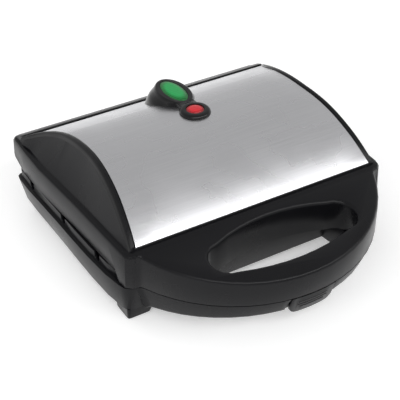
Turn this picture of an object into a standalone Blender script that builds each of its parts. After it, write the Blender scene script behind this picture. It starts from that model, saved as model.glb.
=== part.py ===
# Corn dog maker: a countertop cooker with a hinged lid, two cavity plates and a bow handle with a latch.
# X runs from left to right, Y from front to rear, Z up. All lengths are in metres.

import math

import bmesh
import bpy
from mathutils import Matrix, Vector

# Walls, gaps and cuts
WALL = 0.0024
GAP = 0.0003
PARTING_GAP = 0.0006
OVERRUN = 0.004
SINK = 0.0012

# Facets, shading and welding
ROUND_STEPS = 10
FINE_STEPS = 8
DISC_STEPS = 16
SMOOTH_ANGLE = 35
MERGE = 0.00001

# Body, shared by base and lid
BODY_FRONT = -0.059
FRONT_CORNER_RADIUS = 0.010
REAR_CORNER_RADIUS = 0.007

# Base housing
BASE_REAR = 0.1125
BASE_HALF_WIDTH = 0.1198
FLOOR_HEIGHT = 0.008
RIM_HEIGHT = 0.030
BASE_DRAFT = 0.003
BASE_EDGE = 0.001
base_side_shares = ((0.0, 0.925), (0.14, 0.961), (0.31, 0.978), (0.63, 0.988), (0.89, 1.0), (1.0, 0.996))
base_bottom_shares = (
    (0.0, 0.917), (0.14, 0.945), (0.31, 0.955), (0.63, 0.956), (0.89, 0.960), (1.0, 0.956),
)
SIDE_STEPS = 7
LIP_HEIGHT = 0.007
LIP_WALL = 0.0022
LIP_INSET = 0.0028
LIP_FRONT_INSET = 0.0064
LEG_WIDTH = 0.018
LEG_LENGTH = 0.018
LEG_FLARE = 0.005
LEG_CORNER = 0.002
LEG_CLEAR = 0.001
LEG_FRONT_INSET = 0.0006
LEG_REAR_INSET = 0.007
PAD_RADIUS = 0.006
PAD_SEAT = 0.002
VENT_LENGTH = 0.030
VENT_WIDTH = 0.003
VENT_PITCH = 0.009
VENT_COUNT = 5
VENT_PLACE = 0.040

# Stick notches and the row of cavities that they serve
ROW_PITCH = 0.052
ROW_MIDDLE = 0.0335
ROW_COUNT = 3
NOTCH_WIDTH = 0.0066

# Lid housing
LID_REAR = 0.1256
LID_SIDE_STEP = 0.0034
LID_HALF_WIDTH = BASE_HALF_WIDTH - LID_SIDE_STEP
LID_TOP = 0.058
LID_FLARE = 0.00095
LID_EDGE = 0.0026
lid_side_shares = ((0.0, 0.9465), (0.21, 0.9605), (0.37, 0.968), (0.55, 0.9845), (0.72, 1.0), (1.0, 0.989))
SKIRT_GAP = 0.001
SKIRT_STEP_PLACE = 0.010
SKIRT_STEP_LENGTH = 0.005
SKIRT_RELIEF_PLACE = 0.022
REAR_SKIRT_HEIGHT = 0.0435
hip_place_share = 0.5
hip_height_share = 0.62
LEDGE = 0.0054

# Steel cover
STEEL_THICKNESS = 0.0008
STEEL_FRONT = -0.0536
STEEL_REAR = 0.1087
STEEL_CREST = 0.0908
STEEL_CREST_PLACE = 0.024
STEEL_FRONT_HEIGHT = 0.0603
STEEL_REAR_HEIGHT = 0.0639
STEEL_SIDE_STEP = 0.005
STEEL_HALF_WIDTH = LID_HALF_WIDTH - STEEL_SIDE_STEP
arch_power_share = 2.25
ARCH_STEPS = 16
steel_edge_shares = (
    (0.0, 0.897), (0.06, 0.880), (0.22, 0.845), (0.45, 0.815), (0.59, 0.816),
    (0.70, 0.826), (0.78, 0.844), (0.853, 0.874), (0.927, 0.925), (1.0, 1.0),
)
SEAT_GAP = 0.00035
SEAT_SIDE_GAP = 0.0008
BEAD_WIDTH = 0.005
BEAD_RISE = 0.0009
BEAD_DROP = 0.0022
bead_width_shares = ((0.0, 1.0), (0.80, 1.0), (0.93, 0.62), (1.0, 0.3))

# Bow handle
BOW_RADIUS = 0.109
BOW_CENTRE = -0.017
BOW_STEPS = 20
BOW_FLARE = 0.003
HANDLE_ROOT = 0.0045
HANDLE_TOP = 0.0574
HANDLE_BOTTOM = 0.0088
HANDLE_TAPER = 0.005
handle_top_slope_share = 0.1234
handle_bottom_slope_share = -0.122
HANDLE_EDGE = 0.0026
HOLE_HALF_LENGTH = 0.0605
HOLE_END_LENGTH = 0.0135
HOLE_FRONT = -0.108
HOLE_REAR = -0.0639
HOLE_FRONT_RADIUS = 0.159
HOLE_REAR_RADIUS = 0.125
HOLE_FLARE = 0.0028
LOWER_HOLE_INSET = 0.0022
HOLE_STEPS = 8
HOLE_END_STEPS = 8

# Latch
LATCH_PIVOT_SETBACK = 0.007
LATCH_PIVOT_HEIGHT = 0.038
LATCH_PIN_RADIUS = 0.0015
LATCH_PIN_LENGTH = 0.0304
LATCH_LUG_RADIUS = 0.003
LATCH_BOSS_WIDTH = 0.0025
LATCH_NECK_WIDTH = 0.025
LATCH_NECK_THICKNESS = 0.0024
LATCH_TAB_WIDTH = 0.036
LATCH_TAB_THICKNESS = 0.0024
LATCH_TAB_BOTTOM = 0.0135
LATCH_TAB_CORNER = 0.008
LATCH_TAB_TAPER = 0.0045
LATCH_TAB_CHAMFER = 0.0015
LATCH_SIDE_GAP = 0.0008
LATCH_NOTCH_SPREAD = 0.002
LATCH_WEB_TOP = 0.0276
LATCH_HOOK_TOP = 0.025
LATCH_HOOK_REACH = 0.0028
LATCH_HOOK_THICKNESS = 0.0024
KEEPER_GAP = 0.0004
GRIP_RIB_COUNT = 3
GRIP_RIB_HEIGHT = 0.0009
GRIP_RIB_PITCH = 0.0028

# Hinge
HINGE_PLACE = 0.118
HINGE_HEIGHT = 0.040
HINGE_RADIUS = 0.006
HINGE_PIN_RADIUS = 0.002
HINGE_PIN_HEAD_RADIUS = 0.0032
HINGE_PIN_HEAD = 0.0012
KNUCKLE_SIDE_STEP = 0.0448
KNUCKLE_PLACE = BASE_HALF_WIDTH - KNUCKLE_SIDE_STEP
KNUCKLE_WIDTH = 0.015
EAR_WIDTH = 0.005
EAR_FOOT_DROP = 0.004

# Cooking plates
PLATE_SIDE_GAP = 0.0084
PLATE_HALF_WIDTH = LID_HALF_WIDTH - PLATE_SIDE_GAP
PLATE_FRONT = -0.041
PLATE_REAR = 0.1068
PLATE_CORNER = 0.008
PLATE_FACE = 0.034
PLATE_GAP = 0.0004
FLANGE = 0.003
CAVITY_WIDTH = 0.036
CAVITY_DEPTH = 0.0125
CAVITY_INNER_END = 0.013
CAVITY_END_WALL = 0.015
CAVITY_OUTER_END = PLATE_HALF_WIDTH - CAVITY_END_WALL
CAVITY_LENGTH = CAVITY_OUTER_END - CAVITY_INNER_END
PLATE_WALL = 0.0025
STICK_CHANNEL_RADIUS = 0.0033
CAPSULE_AROUND = 12
CAPSULE_RINGS = 7
POST_SIDE_GAP = 0.007
POST_PLACE = PLATE_HALF_WIDTH - POST_SIDE_GAP
POST_RADIUS = 0.0042
POST_SHOULDER_RADIUS = 0.0062
POST_SPREAD = 0.0645
BOSS_DEPTH = 0.007
SCREW_RADIUS = 0.0015
SCREW_HEAD_RADIUS = 0.0032
SCREW_HEAD = 0.002
SCREW_LENGTH = 0.012
SCREW_RECESS = 0.0024
HEATER_RADIUS = 0.00325
HEATER_LIFT = 0.0096
HEATER_END_GAP = 0.010
HEATER_END = PLATE_HALF_WIDTH - HEATER_END_GAP
HEATER_BEND_GAP = 0.006
HEATER_BEND_END = PLATE_HALF_WIDTH - HEATER_BEND_GAP
HEATER_BED_WIDTH = 0.007
HEATER_BED_GAP = 0.033
HEATER_BED_END = PLATE_HALF_WIDTH - HEATER_BED_GAP
SHIELD_THICKNESS = 0.0008
SHIELD_CLEARANCE = 0.0025
SHIELD_SIDE_GAP = 0.0025
SHIELD_HALF_WIDTH = PLATE_HALF_WIDTH - SHIELD_SIDE_GAP
SHIELD_BORDER = 0.002
SHIELD_NOTCH_WIDTH = 0.030
SHIELD_NOTCH_DEPTH = 0.034

# Small inner pieces
THERMOSTAT_RADIUS = 0.008
THERMOSTAT_HEIGHT = 0.005
THERMOSTAT_BOSS_RADIUS = 0.007
THERMOSTAT_BOSS_DEPTH = 0.004
TERMINAL_LENGTH = 0.004
TERMINAL_WIDTH = 0.0042
TERMINAL_THICKNESS = 0.0008
FUSE_RADIUS = 0.002
FUSE_LENGTH = 0.012
BLOCK_WIDTH = 0.020
BLOCK_DEPTH = 0.012
BLOCK_HEIGHT = 0.010
BLOCK_PLACE = 0.092
GLAND_PLACE = 0.040
GLAND_HEIGHT = 0.019
GLAND_RADIUS = 0.005
GLAND_BORE = 0.0032
GLAND_FLANGE_RADIUS = 0.0075
GLAND_FLANGE = 0.002
GLAND_LENGTH = 0.012

# Indicator bezel, lenses and lamps
GREEN_PLACE = 0.0667
GREEN_HALF_LENGTH = 0.0168
GREEN_HALF_WIDTH = 0.008
RED_PLACE = 0.0347
RED_RADIUS = 0.0068
BEZEL_RISE = 0.0024
BEZEL_TOP = STEEL_CREST + BEZEL_RISE
TURRET_HEIGHT = 0.0222
TURRET_FOOT = BEZEL_TOP - TURRET_HEIGHT
TURRET_FOOT_WIDTH = 0.0215
turret_shares = (
    # height, half width, half length and rearward shift, each a share of the foot's own
    (0.0, 1.03, 1.03, 1.05),
    (0.61, 0.83, 0.92, 0.68),
    (0.84, 0.655, 0.875, 0.29),
    (0.97, 0.58, 0.875, 0.02),
    (1.0, 0.54, 0.85, 0.0),
)
TURRET_FOOT_LENGTH = 0.0235
TURRET_SHIFT = 0.005
RING_RADIUS = 0.0121
RING_TOP_RADIUS = 0.0096
NECK_HALF_WIDTH = 0.0074
LENS_THICKNESS = 0.0008
LENS_DOME = 0.0008
LENS_DEPTH = 0.0011
LAMP_RADIUS = 0.003
LAMP_LENGTH = 0.007
STEM_WALL = 0.0016
STEM_LENGTH = 0.008
OVAL_STEPS = 24


def add_collection(name):
    collection = bpy.data.collections.new(name)
    bpy.context.scene.collection.children.link(collection)
    return collection


def material(name, colour, roughness, metallic):
    made = bpy.data.materials.new(name)
    made.use_nodes = True
    shader = made.node_tree.nodes["Principled BSDF"]
    shader.inputs["Base Color"].default_value = (*colour, 1.0)
    shader.inputs["Roughness"].default_value = roughness
    shader.inputs["Metallic"].default_value = metallic
    made.diffuse_color = (*colour, 1.0)
    return made


def place_empty(name, location, parent=None):
    empty = bpy.data.objects.new(name, None)
    parts.objects.link(empty)
    empty.location = location
    if parent:
        empty.parent = parent
        empty.matrix_parent_inverse = Matrix.Translation(-parent_place(parent))
    empty.hide_render = True
    return empty


def parent_place(empty):
    return Vector(empty.location)


def hang(obj, empty):
    obj.parent = empty
    obj.matrix_parent_inverse = Matrix.Translation(-parent_place(empty))
    return obj


def new_object(name, bm, paint=None):
    # A piece with a material is a part of the cooker, and one without is a tool that shapes a part.
    bmesh.ops.recalc_face_normals(bm, faces=bm.faces)
    mesh = bpy.data.meshes.new(name)
    bm.to_mesh(mesh)
    bm.free()
    obj = bpy.data.objects.new(name, mesh)
    if paint:
        parts.objects.link(obj)
        mesh.materials.append(paint)
        mesh.shade_smooth()
        mesh.set_sharp_from_angle(angle=math.radians(SMOOTH_ANGLE))
    else:
        cutters.objects.link(obj)
        obj.hide_render = True
        obj.display_type = "WIRE"
    return obj


def combine(target, tool, operation):
    modifier = target.modifiers.new(tool.name, "BOOLEAN")
    modifier.object = tool
    modifier.operation = operation
    modifier.solver = "EXACT"
    if target.parent and not tool.parent:
        hang(tool, target.parent)
    return target


def join(target, *tools):
    for tool in tools:
        combine(target, tool, "UNION")


def cut(target, *tools):
    for tool in tools:
        combine(target, tool, "DIFFERENCE")


def blend(table, place):
    # Smooth curve through a table of (place, value), both shares.
    last = len(table) - 2
    index = 0
    while index < last and place > table[index + 1][0]:
        index += 1
    before = table[max(index - 1, 0)]
    start, end = table[index], table[index + 1]
    after = table[min(index + 2, last + 1)]
    span = end[0] - start[0]
    leave = (end[1] - before[1]) / (end[0] - before[0]) * span
    reach = (after[1] - start[1]) / (after[0] - start[0]) * span
    t = (place - start[0]) / span
    return (
        start[1] * (2 * t**3 - 3 * t**2 + 1) + leave * (t**3 - 2 * t**2 + t)
        + end[1] * (3 * t**2 - 2 * t**3) + reach * (t**3 - t**2)
    )


def curve_corner(before, corner, after, steps):
    points = []
    for step in range(steps + 1):
        t = step / steps
        points.append(before.lerp(corner, t).lerp(corner.lerp(after, t), t))
    return points


def round_corners(points, radii, steps=3):
    # The outline with each corner of a radius above zero rounded.
    points = [Vector(point) for point in points]
    outline = []
    for index, corner in enumerate(points):
        before = points[index - 1] - corner
        after = points[(index + 1) % len(points)] - corner
        if radii[index] <= 0:
            outline.append(corner)
            continue
        reach = radii[index] / math.tan(before.angle(after) / 2)
        start = corner + before.normalized() * min(reach, before.length * 0.49)
        end = corner + after.normalized() * min(reach, after.length * 0.49)
        outline += curve_corner(start, corner, end, steps)
    return outline


def rectangle(half_width, front, rear, radius, steps=3):
    corners = [(half_width, front), (half_width, rear), (-half_width, rear), (-half_width, front)]
    return round_corners(corners, [radius] * 4, steps)


def mirror_outline(right):
    return right + [Vector((-point.x, point.y)) for point in reversed(right)]


def body_outline(side_shares, half_width, rear, inset):
    # The plan of base or lid, drawn in by the inset all round.
    front = BODY_FRONT + inset
    length = rear - inset - front
    side = []
    for step in range(SIDE_STEPS + 1):
        along_share = step / SIDE_STEPS
        x = half_width * blend(side_shares, along_share) - inset
        side.append(Vector((x, front + length * along_share)))
    left_front = Vector((-side[0].x, side[0].y))
    left_rear = Vector((-side[-1].x, side[-1].y))
    corners = [left_front] + side + [left_rear]
    radii = [0.0] + [max(FRONT_CORNER_RADIUS - inset, SINK)] + [0.0] * (SIDE_STEPS - 1)
    radii += [max(REAR_CORNER_RADIUS - inset, SINK), 0.0]
    rounded = round_corners(corners, radii)
    return mirror_outline(rounded[1:-1])


def raise_ring(outline, height):
    return [Vector((point.x, point.y, height)) for point in outline]


def loft(rings):
    # A closed solid through rings of the same number of points.
    bm = bmesh.new()
    loops = [[bm.verts.new(point) for point in ring] for ring in rings]
    bm.faces.new(loops[0])
    bm.faces.new(loops[-1])
    for low, high in zip(loops, loops[1:]):
        for index in range(len(low)):
            bm.faces.new((low[index - 1], low[index], high[index], high[index - 1]))
    return bm


def add_solid(bm, solid):
    mesh = bpy.data.meshes.new("solid")
    solid.to_mesh(mesh)
    solid.free()
    bm.from_mesh(mesh)
    bpy.data.meshes.remove(mesh)


def circle(x, y, radius, height, steps):
    turns = [2 * math.pi * step / steps for step in range(steps)]
    return [Vector((x + radius * math.cos(turn), y + radius * math.sin(turn), height)) for turn in turns]


def upright(outline, low, high):
    return loft([raise_ring(outline, low), raise_ring(outline, high)])


def sideways(outline, low, high):
    # The outline lies in Y and Z, and the solid runs along X.
    return loft([[Vector((x, point.x, point.y)) for point in outline] for x in (low, high)])


def add_box(bm, low, high):
    low, high = Vector(low), Vector(high)
    size = high - low
    move = Matrix.Translation((low + high) / 2) @ Matrix.Diagonal((*size, 1.0))
    bmesh.ops.create_cube(bm, size=1.0, matrix=move)
    return bm


def box(low, high):
    return add_box(bmesh.new(), low, high)


def add_cylinder(bm, radius, low, high, steps=None, top_radius=None):
    # A cylinder, or a cone, from the point low to the point high.
    low, high = Vector(low), Vector(high)
    along = high - low
    turn = along.to_track_quat("Z", "Y").to_matrix().to_4x4()
    bmesh.ops.create_cone(
        bm, cap_ends=True, segments=steps or ROUND_STEPS, radius1=radius, depth=along.length,
        radius2=radius if top_radius is None else top_radius,
        matrix=Matrix.Translation((low + high) / 2) @ turn,
    )
    return bm


def cylinder(radius, low, high, steps=None, top_radius=None):
    return add_cylinder(bmesh.new(), radius, low, high, steps, top_radius)


def turned(name, profile, paint, steps=20):
    # The profile of (radius, height) runs down its outer side and is turned about the object's Z axis.
    bm = bmesh.new()
    points = [bm.verts.new((radius, 0.0, height)) for radius, height in profile]
    closed = profile[0][0] > 0
    for index in range(len(points) - (0 if closed else 1)):
        bm.edges.new((points[index], points[(index + 1) % len(points)]))
    mesh = bpy.data.meshes.new(name)
    bm.to_mesh(mesh)
    bm.free()
    mesh.materials.append(paint)
    obj = bpy.data.objects.new(name, mesh)
    parts.objects.link(obj)
    screw = obj.modifiers.new("turn", "SCREW")
    screw.steps = steps
    screw.render_steps = steps
    screw.use_merge_vertices = True
    screw.merge_threshold = MERGE
    screw.use_smooth_shade = True
    return obj


def arch_height(place):
    # Top surface of the steel cover at a place along Y.
    if place < STEEL_CREST_PLACE:
        share = (STEEL_CREST_PLACE - place) / (STEEL_CREST_PLACE - STEEL_FRONT)
        return STEEL_CREST - (STEEL_CREST - STEEL_FRONT_HEIGHT) * share**arch_power_share
    share = (place - STEEL_CREST_PLACE) / (STEEL_REAR - STEEL_CREST_PLACE)
    return STEEL_CREST - (STEEL_CREST - STEEL_REAR_HEIGHT) * share**arch_power_share


def arch_below(place, depth):
    # Height of the surface that lies the given depth under the steel's top, square to it.
    slope = (arch_height(place + SINK) - arch_height(place - SINK)) / (2 * SINK)
    return arch_height(place) - depth * math.hypot(1.0, slope)


def arch_places():
    return [STEEL_FRONT + (STEEL_REAR - STEEL_FRONT) * step / ARCH_STEPS for step in range(ARCH_STEPS + 1)]


def steel_share(place):
    return min(max((place - STEEL_FRONT) / (STEEL_REAR - STEEL_FRONT), 0.0), 1.0)


def steel_half_width(place):
    return STEEL_HALF_WIDTH * blend(steel_edge_shares, steel_share(place))


def lid_half_width(place):
    return LID_HALF_WIDTH * blend(lid_side_shares, (place - BODY_FRONT) / (LID_REAR - BODY_FRONT))


def lid_outline(inset):
    return body_outline(lid_side_shares, LID_HALF_WIDTH, LID_REAR, inset)


def base_outline(inset):
    return body_outline(base_side_shares, BASE_HALF_WIDTH, BASE_REAR, inset)


def base_bottom_outline(inset):
    # The side walls lean in towards the bottom, most at the rear.
    return body_outline(base_bottom_shares, BASE_HALF_WIDTH + BASE_DRAFT, BASE_REAR, BASE_DRAFT + inset)


def lip_outline(inset):
    # The lip stands further in at the front, where the lid's corner comes down outside it.
    outline = []
    for point in body_outline(base_side_shares, BASE_HALF_WIDTH, BASE_REAR, LIP_INSET + inset):
        front_share = max(0.0, 1.0 - (point.y - BODY_FRONT) / (SKIRT_STEP_PLACE + SKIRT_STEP_LENGTH) / 2)
        draw = (LIP_FRONT_INSET - LIP_INSET) * front_share
        outline.append(Vector((point.x - math.copysign(draw, point.x), point.y)))
    return outline


def row_places():
    return [ROW_MIDDLE + ROW_PITCH * (row - (ROW_COUNT - 1) / 2) for row in range(ROW_COUNT)]


def bow_outline(inset):
    # Plan of the bow handle: an arc that flares into the body's front and ends inside it.
    radius = BOW_RADIUS - inset
    flare_front = BODY_FRONT - BOW_FLARE
    start_angle = math.asin((BOW_CENTRE - flare_front) / radius)
    corner = Vector((math.sqrt(radius**2 - (BOW_CENTRE - BODY_FRONT) ** 2), BODY_FRONT))
    arc = []
    for step in range(BOW_STEPS // 2 + 1):
        angle = start_angle + (math.pi / 2 - start_angle) * (1 - step / (BOW_STEPS // 2))
        arc.append(Vector((radius * math.cos(angle), BOW_CENTRE - radius * math.sin(angle))))
    edge = corner + Vector((BOW_FLARE, 0.0))
    root = Vector((edge.x, BODY_FRONT + HANDLE_ROOT))
    right = arc[:-1] + curve_corner(arc[-1], corner, edge, 3) + [root]
    return right + [Vector((-point.x, point.y)) for point in reversed(right[1:])]


def bow_hollow_outline(inset):
    # The room inside the handle stops in front of the body's own front wall.
    radius = BOW_RADIUS - inset
    back = BODY_FRONT - SINK
    start_angle = math.asin((BOW_CENTRE - back) / radius)
    arc = []
    for step in range(BOW_STEPS + 1):
        angle = start_angle + (math.pi - 2 * start_angle) * step / BOW_STEPS
        arc.append(Vector((radius * math.cos(angle), BOW_CENTRE - radius * math.sin(angle))))
    return arc


def hole_outline(grow, back=None):
    # The finger hole: two flat arcs between round ends, made larger all round by grow.
    # In the lower half its rear side is the straight line at back.
    half_length = HOLE_HALF_LENGTH + grow
    straight = HOLE_HALF_LENGTH - HOLE_END_LENGTH
    front_radius = HOLE_FRONT_RADIUS + grow
    rear_radius = HOLE_REAR_RADIUS + grow

    def front_at(x):
        return HOLE_FRONT - grow + front_radius - math.sqrt(front_radius**2 - x**2)

    def rear_at(x):
        return HOLE_REAR + grow - rear_radius + math.sqrt(rear_radius**2 - x**2)

    middle = (front_at(straight) + rear_at(straight)) / 2
    half_gap = (rear_at(straight) - front_at(straight)) / 2
    crossings = [straight * (step - HOLE_STEPS / 2) / (HOLE_STEPS / 2) for step in range(HOLE_STEPS + 1)]
    outline = [Vector((x, front_at(x))) for x in crossings]
    round_steps = HOLE_END_STEPS if back is None else HOLE_END_STEPS // 2 + 1
    end = []
    for step in range(1, round_steps):
        angle = math.pi * step / HOLE_END_STEPS
        reach = straight + (half_length - straight) * math.sin(angle)
        end.append(Vector((reach, middle - half_gap * math.cos(angle))))
    outline += end
    if back is None:
        outline += [Vector((x, rear_at(x))) for x in reversed(crossings)]
    else:
        outline += [Vector((half_length, back)), Vector((-half_length, back))]
    return outline + [Vector((-point.x, point.y)) for point in reversed(end)]


def slant(outline, slope_share, height):
    # A ring that follows the handle's sloping face, which is height high at the body.
    return [Vector((point.x, point.y, height + slope_share * (point.y - BODY_FRONT))) for point in outline]


def trim(bm, height, keep_above):
    # Cuts the solid at a level and closes the cut.
    normal = Vector((0.0, 0.0, 1.0))
    geometry = bm.verts[:] + bm.edges[:] + bm.faces[:]
    done = bmesh.ops.bisect_plane(
        bm, geom=geometry, plane_co=(0.0, 0.0, height), plane_no=normal,
        clear_inner=keep_above, clear_outer=not keep_above,
    )
    edges = [item for item in done["geom_cut"] if isinstance(item, bmesh.types.BMEdge)]
    bmesh.ops.edgeloop_fill(bm, edges=edges)
    return bm


def edge_levels(radius):
    # How far a rounded edge draws in at some depths below the face, as (depth, inset).
    levels = []
    for step in (3, 2, 1, 0):
        angle = math.pi / 2 * step / 3
        levels.append((radius * (1 - math.cos(angle)), radius * (1 - math.sin(angle))))
    return levels


def lower_handle():
    # The base's half of the handle before it is hollowed: it tapers towards its bottom.
    rings = [raise_ring(bow_outline(0.0), RIM_HEIGHT)]
    for up, inset in edge_levels(HANDLE_EDGE):
        outline = bow_outline(HANDLE_TAPER + inset)
        rings.append(slant(outline, handle_bottom_slope_share, HANDLE_BOTTOM + up))
    return new_object("base_handle", loft(rings))


def lower_handle_room():
    outline = bow_hollow_outline(WALL)
    rings = [raise_ring(outline, RIM_HEIGHT + OVERRUN), raise_ring(outline, RIM_HEIGHT)]
    drawn = bow_hollow_outline(WALL + HANDLE_TAPER)
    rings.append(slant(drawn, handle_bottom_slope_share, HANDLE_BOTTOM + WALL))
    room = new_object("base_handle_room", loft(rings))
    wall = upright(hole_outline(WALL - LOWER_HOLE_INSET, BODY_FRONT), 0.0, LID_TOP)
    cut(room, new_object("base_hole_wall", wall))
    return room


def lower_finger_hole():
    # The hole through the lower half, whose rear side is the base's own leaning front wall.
    rings = []
    for height in (-OVERRUN, RIM_HEIGHT + OVERRUN):
        lean = BASE_DRAFT * (RIM_HEIGHT - height) / (RIM_HEIGHT - FLOOR_HEIGHT - BASE_EDGE)
        outline = hole_outline(-LOWER_HOLE_INSET, BODY_FRONT + lean - GAP)
        rings.append(raise_ring(outline, height))
    return new_object("base_finger_hole", loft(rings))


def upper_handle():
    # The lid's half of the handle before it is hollowed.
    rings = [raise_ring(bow_outline(0.0), RIM_HEIGHT + PARTING_GAP)]
    for down, inset in edge_levels(HANDLE_EDGE):
        rings.append(slant(bow_outline(inset), handle_top_slope_share, HANDLE_TOP - down))
    return new_object("lid_handle", loft(rings))


def upper_handle_room():
    outline = bow_hollow_outline(WALL)
    rings = [raise_ring(outline, RIM_HEIGHT - OVERRUN)]
    rings.append(slant(outline, handle_top_slope_share, HANDLE_TOP - WALL))
    room = new_object("lid_handle_room", loft(rings))
    cut(room, new_object("lid_hole_wall", upright(hole_outline(WALL), 0.0, LID_TOP + OVERRUN)))
    cut(room, latch_bosses())
    return room


def six_capsules(length, width, depth, face):
    # One solid for each cavity: a long body with round ends, less deep than wide.
    bm = bmesh.new()
    radius = width / 2
    straight = (length - width) / 2
    for side in (-1, 1):
        for row in row_places():
            turn = Matrix.Rotation(math.pi / 2, 4, "Y")
            made = bmesh.ops.create_uvsphere(
                bm, u_segments=CAPSULE_AROUND, v_segments=CAPSULE_RINGS, radius=radius, matrix=turn,
            )
            for vert in made["verts"]:
                vert.co.x += math.copysign(straight, vert.co.x)
                vert.co.z *= depth / radius
                vert.co += Vector((side * (CAVITY_OUTER_END - CAVITY_LENGTH / 2), row, face))
    return bm


def post_places():
    return [(side * POST_PLACE, ROW_MIDDLE + end * POST_SPREAD) for side in (-1, 1) for end in (-1, 1)]


def cooking_plate(name, face, up, paint):
    # The plate's flange, with the troughs on its back; up is 1 for the upper plate and -1 for the lower.
    back = face + up * FLANGE
    inside = face + up * FLANGE / 2
    outline = rectangle(PLATE_HALF_WIDTH, PLATE_FRONT, PLATE_REAR, PLATE_CORNER)
    plate = new_object(name, upright(outline, min(face, back), max(face, back)), paint)
    shell = six_capsules(
        CAVITY_LENGTH + 2 * PLATE_WALL, CAVITY_WIDTH + 2 * PLATE_WALL, CAVITY_DEPTH + PLATE_WALL, face,
    )
    troughs = new_object(name + "_troughs", trim(shell, inside, up > 0))
    ribs = bmesh.new()
    for side in (-1, 1):
        for row in row_places():
            start = (side * (CAVITY_OUTER_END - STICK_CHANNEL_RADIUS), row, face)
            end = (side * (PLATE_HALF_WIDTH - GAP), row, face)
            add_cylinder(ribs, STICK_CHANNEL_RADIUS + PLATE_WALL, start, end, ROUND_STEPS)
    channel_ribs = new_object(name + "_channel_ribs", trim(ribs, inside, up > 0))
    bosses = bmesh.new()
    for x, y in post_places():
        add_cylinder(bosses, POST_RADIUS, (x, y, inside), (x, y, back + up * BOSS_DEPTH), ROUND_STEPS)
    low, high = inside, back + up * THERMOSTAT_BOSS_DEPTH
    start, end = (0.0, ROW_MIDDLE, low), (0.0, ROW_MIDDLE, high)
    add_cylinder(bosses, THERMOSTAT_BOSS_RADIUS, start, end, DISC_STEPS)
    bed_top = face + up * (HEATER_LIFT - HEATER_RADIUS - GAP)
    for end in (-1, 1):
        y = ROW_MIDDLE + end * ROW_PITCH / 2
        corner = Vector((-HEATER_BED_END, y - HEATER_BED_WIDTH / 2, min(inside, bed_top)))
        other = Vector((HEATER_BED_END, y + HEATER_BED_WIDTH / 2, max(inside, bed_top)))
        add_box(bosses, corner, other)
    back_bosses = new_object(name + "_bosses", bosses)
    join(plate, troughs, channel_ribs, back_bosses)
    middle = PLATE_FACE + PLATE_GAP / 2
    cavities = new_object(name + "_cavities", six_capsules(CAVITY_LENGTH, CAVITY_WIDTH, CAVITY_DEPTH, face))
    channels = bmesh.new()
    for side in (-1, 1):
        for row in row_places():
            start = (side * (CAVITY_OUTER_END - 2 * STICK_CHANNEL_RADIUS), row, middle)
            end = (side * (PLATE_HALF_WIDTH + OVERRUN), row, middle)
            add_cylinder(channels, STICK_CHANNEL_RADIUS, start, end, FINE_STEPS)
    stick_channels = new_object(name + "_stick_channels", channels)
    holes = bmesh.new()
    for x, y in post_places():
        low, high = face - up * OVERRUN, back + up * (BOSS_DEPTH + OVERRUN)
        add_cylinder(holes, SCREW_RADIUS + GAP, (x, y, low), (x, y, high), FINE_STEPS)
    screw_holes = new_object(name + "_screw_holes", holes)
    sinks = bmesh.new()
    for x, y in post_places():
        low, high = face - up * OVERRUN, face + up * SCREW_RECESS
        add_cylinder(sinks, SCREW_HEAD_RADIUS + GAP, (x, y, low), (x, y, high), ROUND_STEPS)
    screw_recesses = new_object(name + "_screw_recesses", sinks)
    cut(plate, cavities, stick_channels, screw_holes, screw_recesses)
    return plate


def plate_screws(name, face, up, paint):
    # Four screws with their heads sunk in the cooking face.
    head_top = SCREW_HEAD
    profile = [
        (0.0, head_top), (SCREW_HEAD_RADIUS, head_top), (SCREW_HEAD_RADIUS, 0.0),
        (SCREW_RADIUS, 0.0), (SCREW_RADIUS, -SCREW_LENGTH), (0.0, -SCREW_LENGTH),
    ]
    screws = []
    for number, (x, y) in enumerate(post_places(), 1):
        screw = turned(f"{name}_{number}", profile, paint, FINE_STEPS)
        screw.location = (x, y, face + up * (SCREW_RECESS - GAP))
        if up > 0:
            screw.rotation_euler = (math.pi, 0.0, 0.0)
        screws.append(screw)
    return screws


def heating_element(name, height, paint):
    # A tube bent once round the middle row of cavities.
    radius = ROW_PITCH / 2
    bend = -(HEATER_BEND_END - HEATER_RADIUS - radius)
    points = [Vector((HEATER_END, ROW_MIDDLE - radius, height))]
    for step in range(13):
        angle = math.pi * step / 12
        x = bend - radius * math.sin(angle)
        points.append(Vector((x, ROW_MIDDLE - radius * math.cos(angle), height)))
    points.append(Vector((HEATER_END, ROW_MIDDLE + radius, height)))
    curve = bpy.data.curves.new(name, "CURVE")
    curve.dimensions = "3D"
    curve.bevel_depth = HEATER_RADIUS
    curve.bevel_resolution = 2
    curve.use_fill_caps = True
    spline = curve.splines.new("POLY")
    spline.points.add(len(points) - 1)
    for spot, point in zip(spline.points, points):
        spot.co = (*point, 1.0)
    curve.materials.append(paint)
    obj = bpy.data.objects.new(name, curve)
    parts.objects.link(obj)
    return obj


def heat_shield(name, low, notch_depth, paint):
    # A flat sheet with a hole round each post and, in the base, a notch for the terminal block.
    front = PLATE_FRONT + SHIELD_BORDER
    rear = PLATE_REAR - SHIELD_BORDER
    half_notch = SHIELD_NOTCH_WIDTH / 2
    corners = [(SHIELD_HALF_WIDTH, front), (SHIELD_HALF_WIDTH, rear)]
    if notch_depth:
        corners += [(half_notch, rear), (half_notch, rear - notch_depth)]
        corners += [(-half_notch, rear - notch_depth), (-half_notch, rear)]
    corners += [(-SHIELD_HALF_WIDTH, rear), (-SHIELD_HALF_WIDTH, front)]
    outline = round_corners(corners, [SHIELD_BORDER] * len(corners), 2)
    sheet = new_object(name, upright(outline, low, low + SHIELD_THICKNESS), paint)
    holes = bmesh.new()
    for x, y in post_places():
        start, end = (x, y, low - OVERRUN), (x, y, low + OVERRUN)
        add_cylinder(holes, POST_RADIUS + 2 * GAP, start, end, ROUND_STEPS)
    cut(sheet, new_object(name + "_holes", holes))
    return sheet


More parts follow.
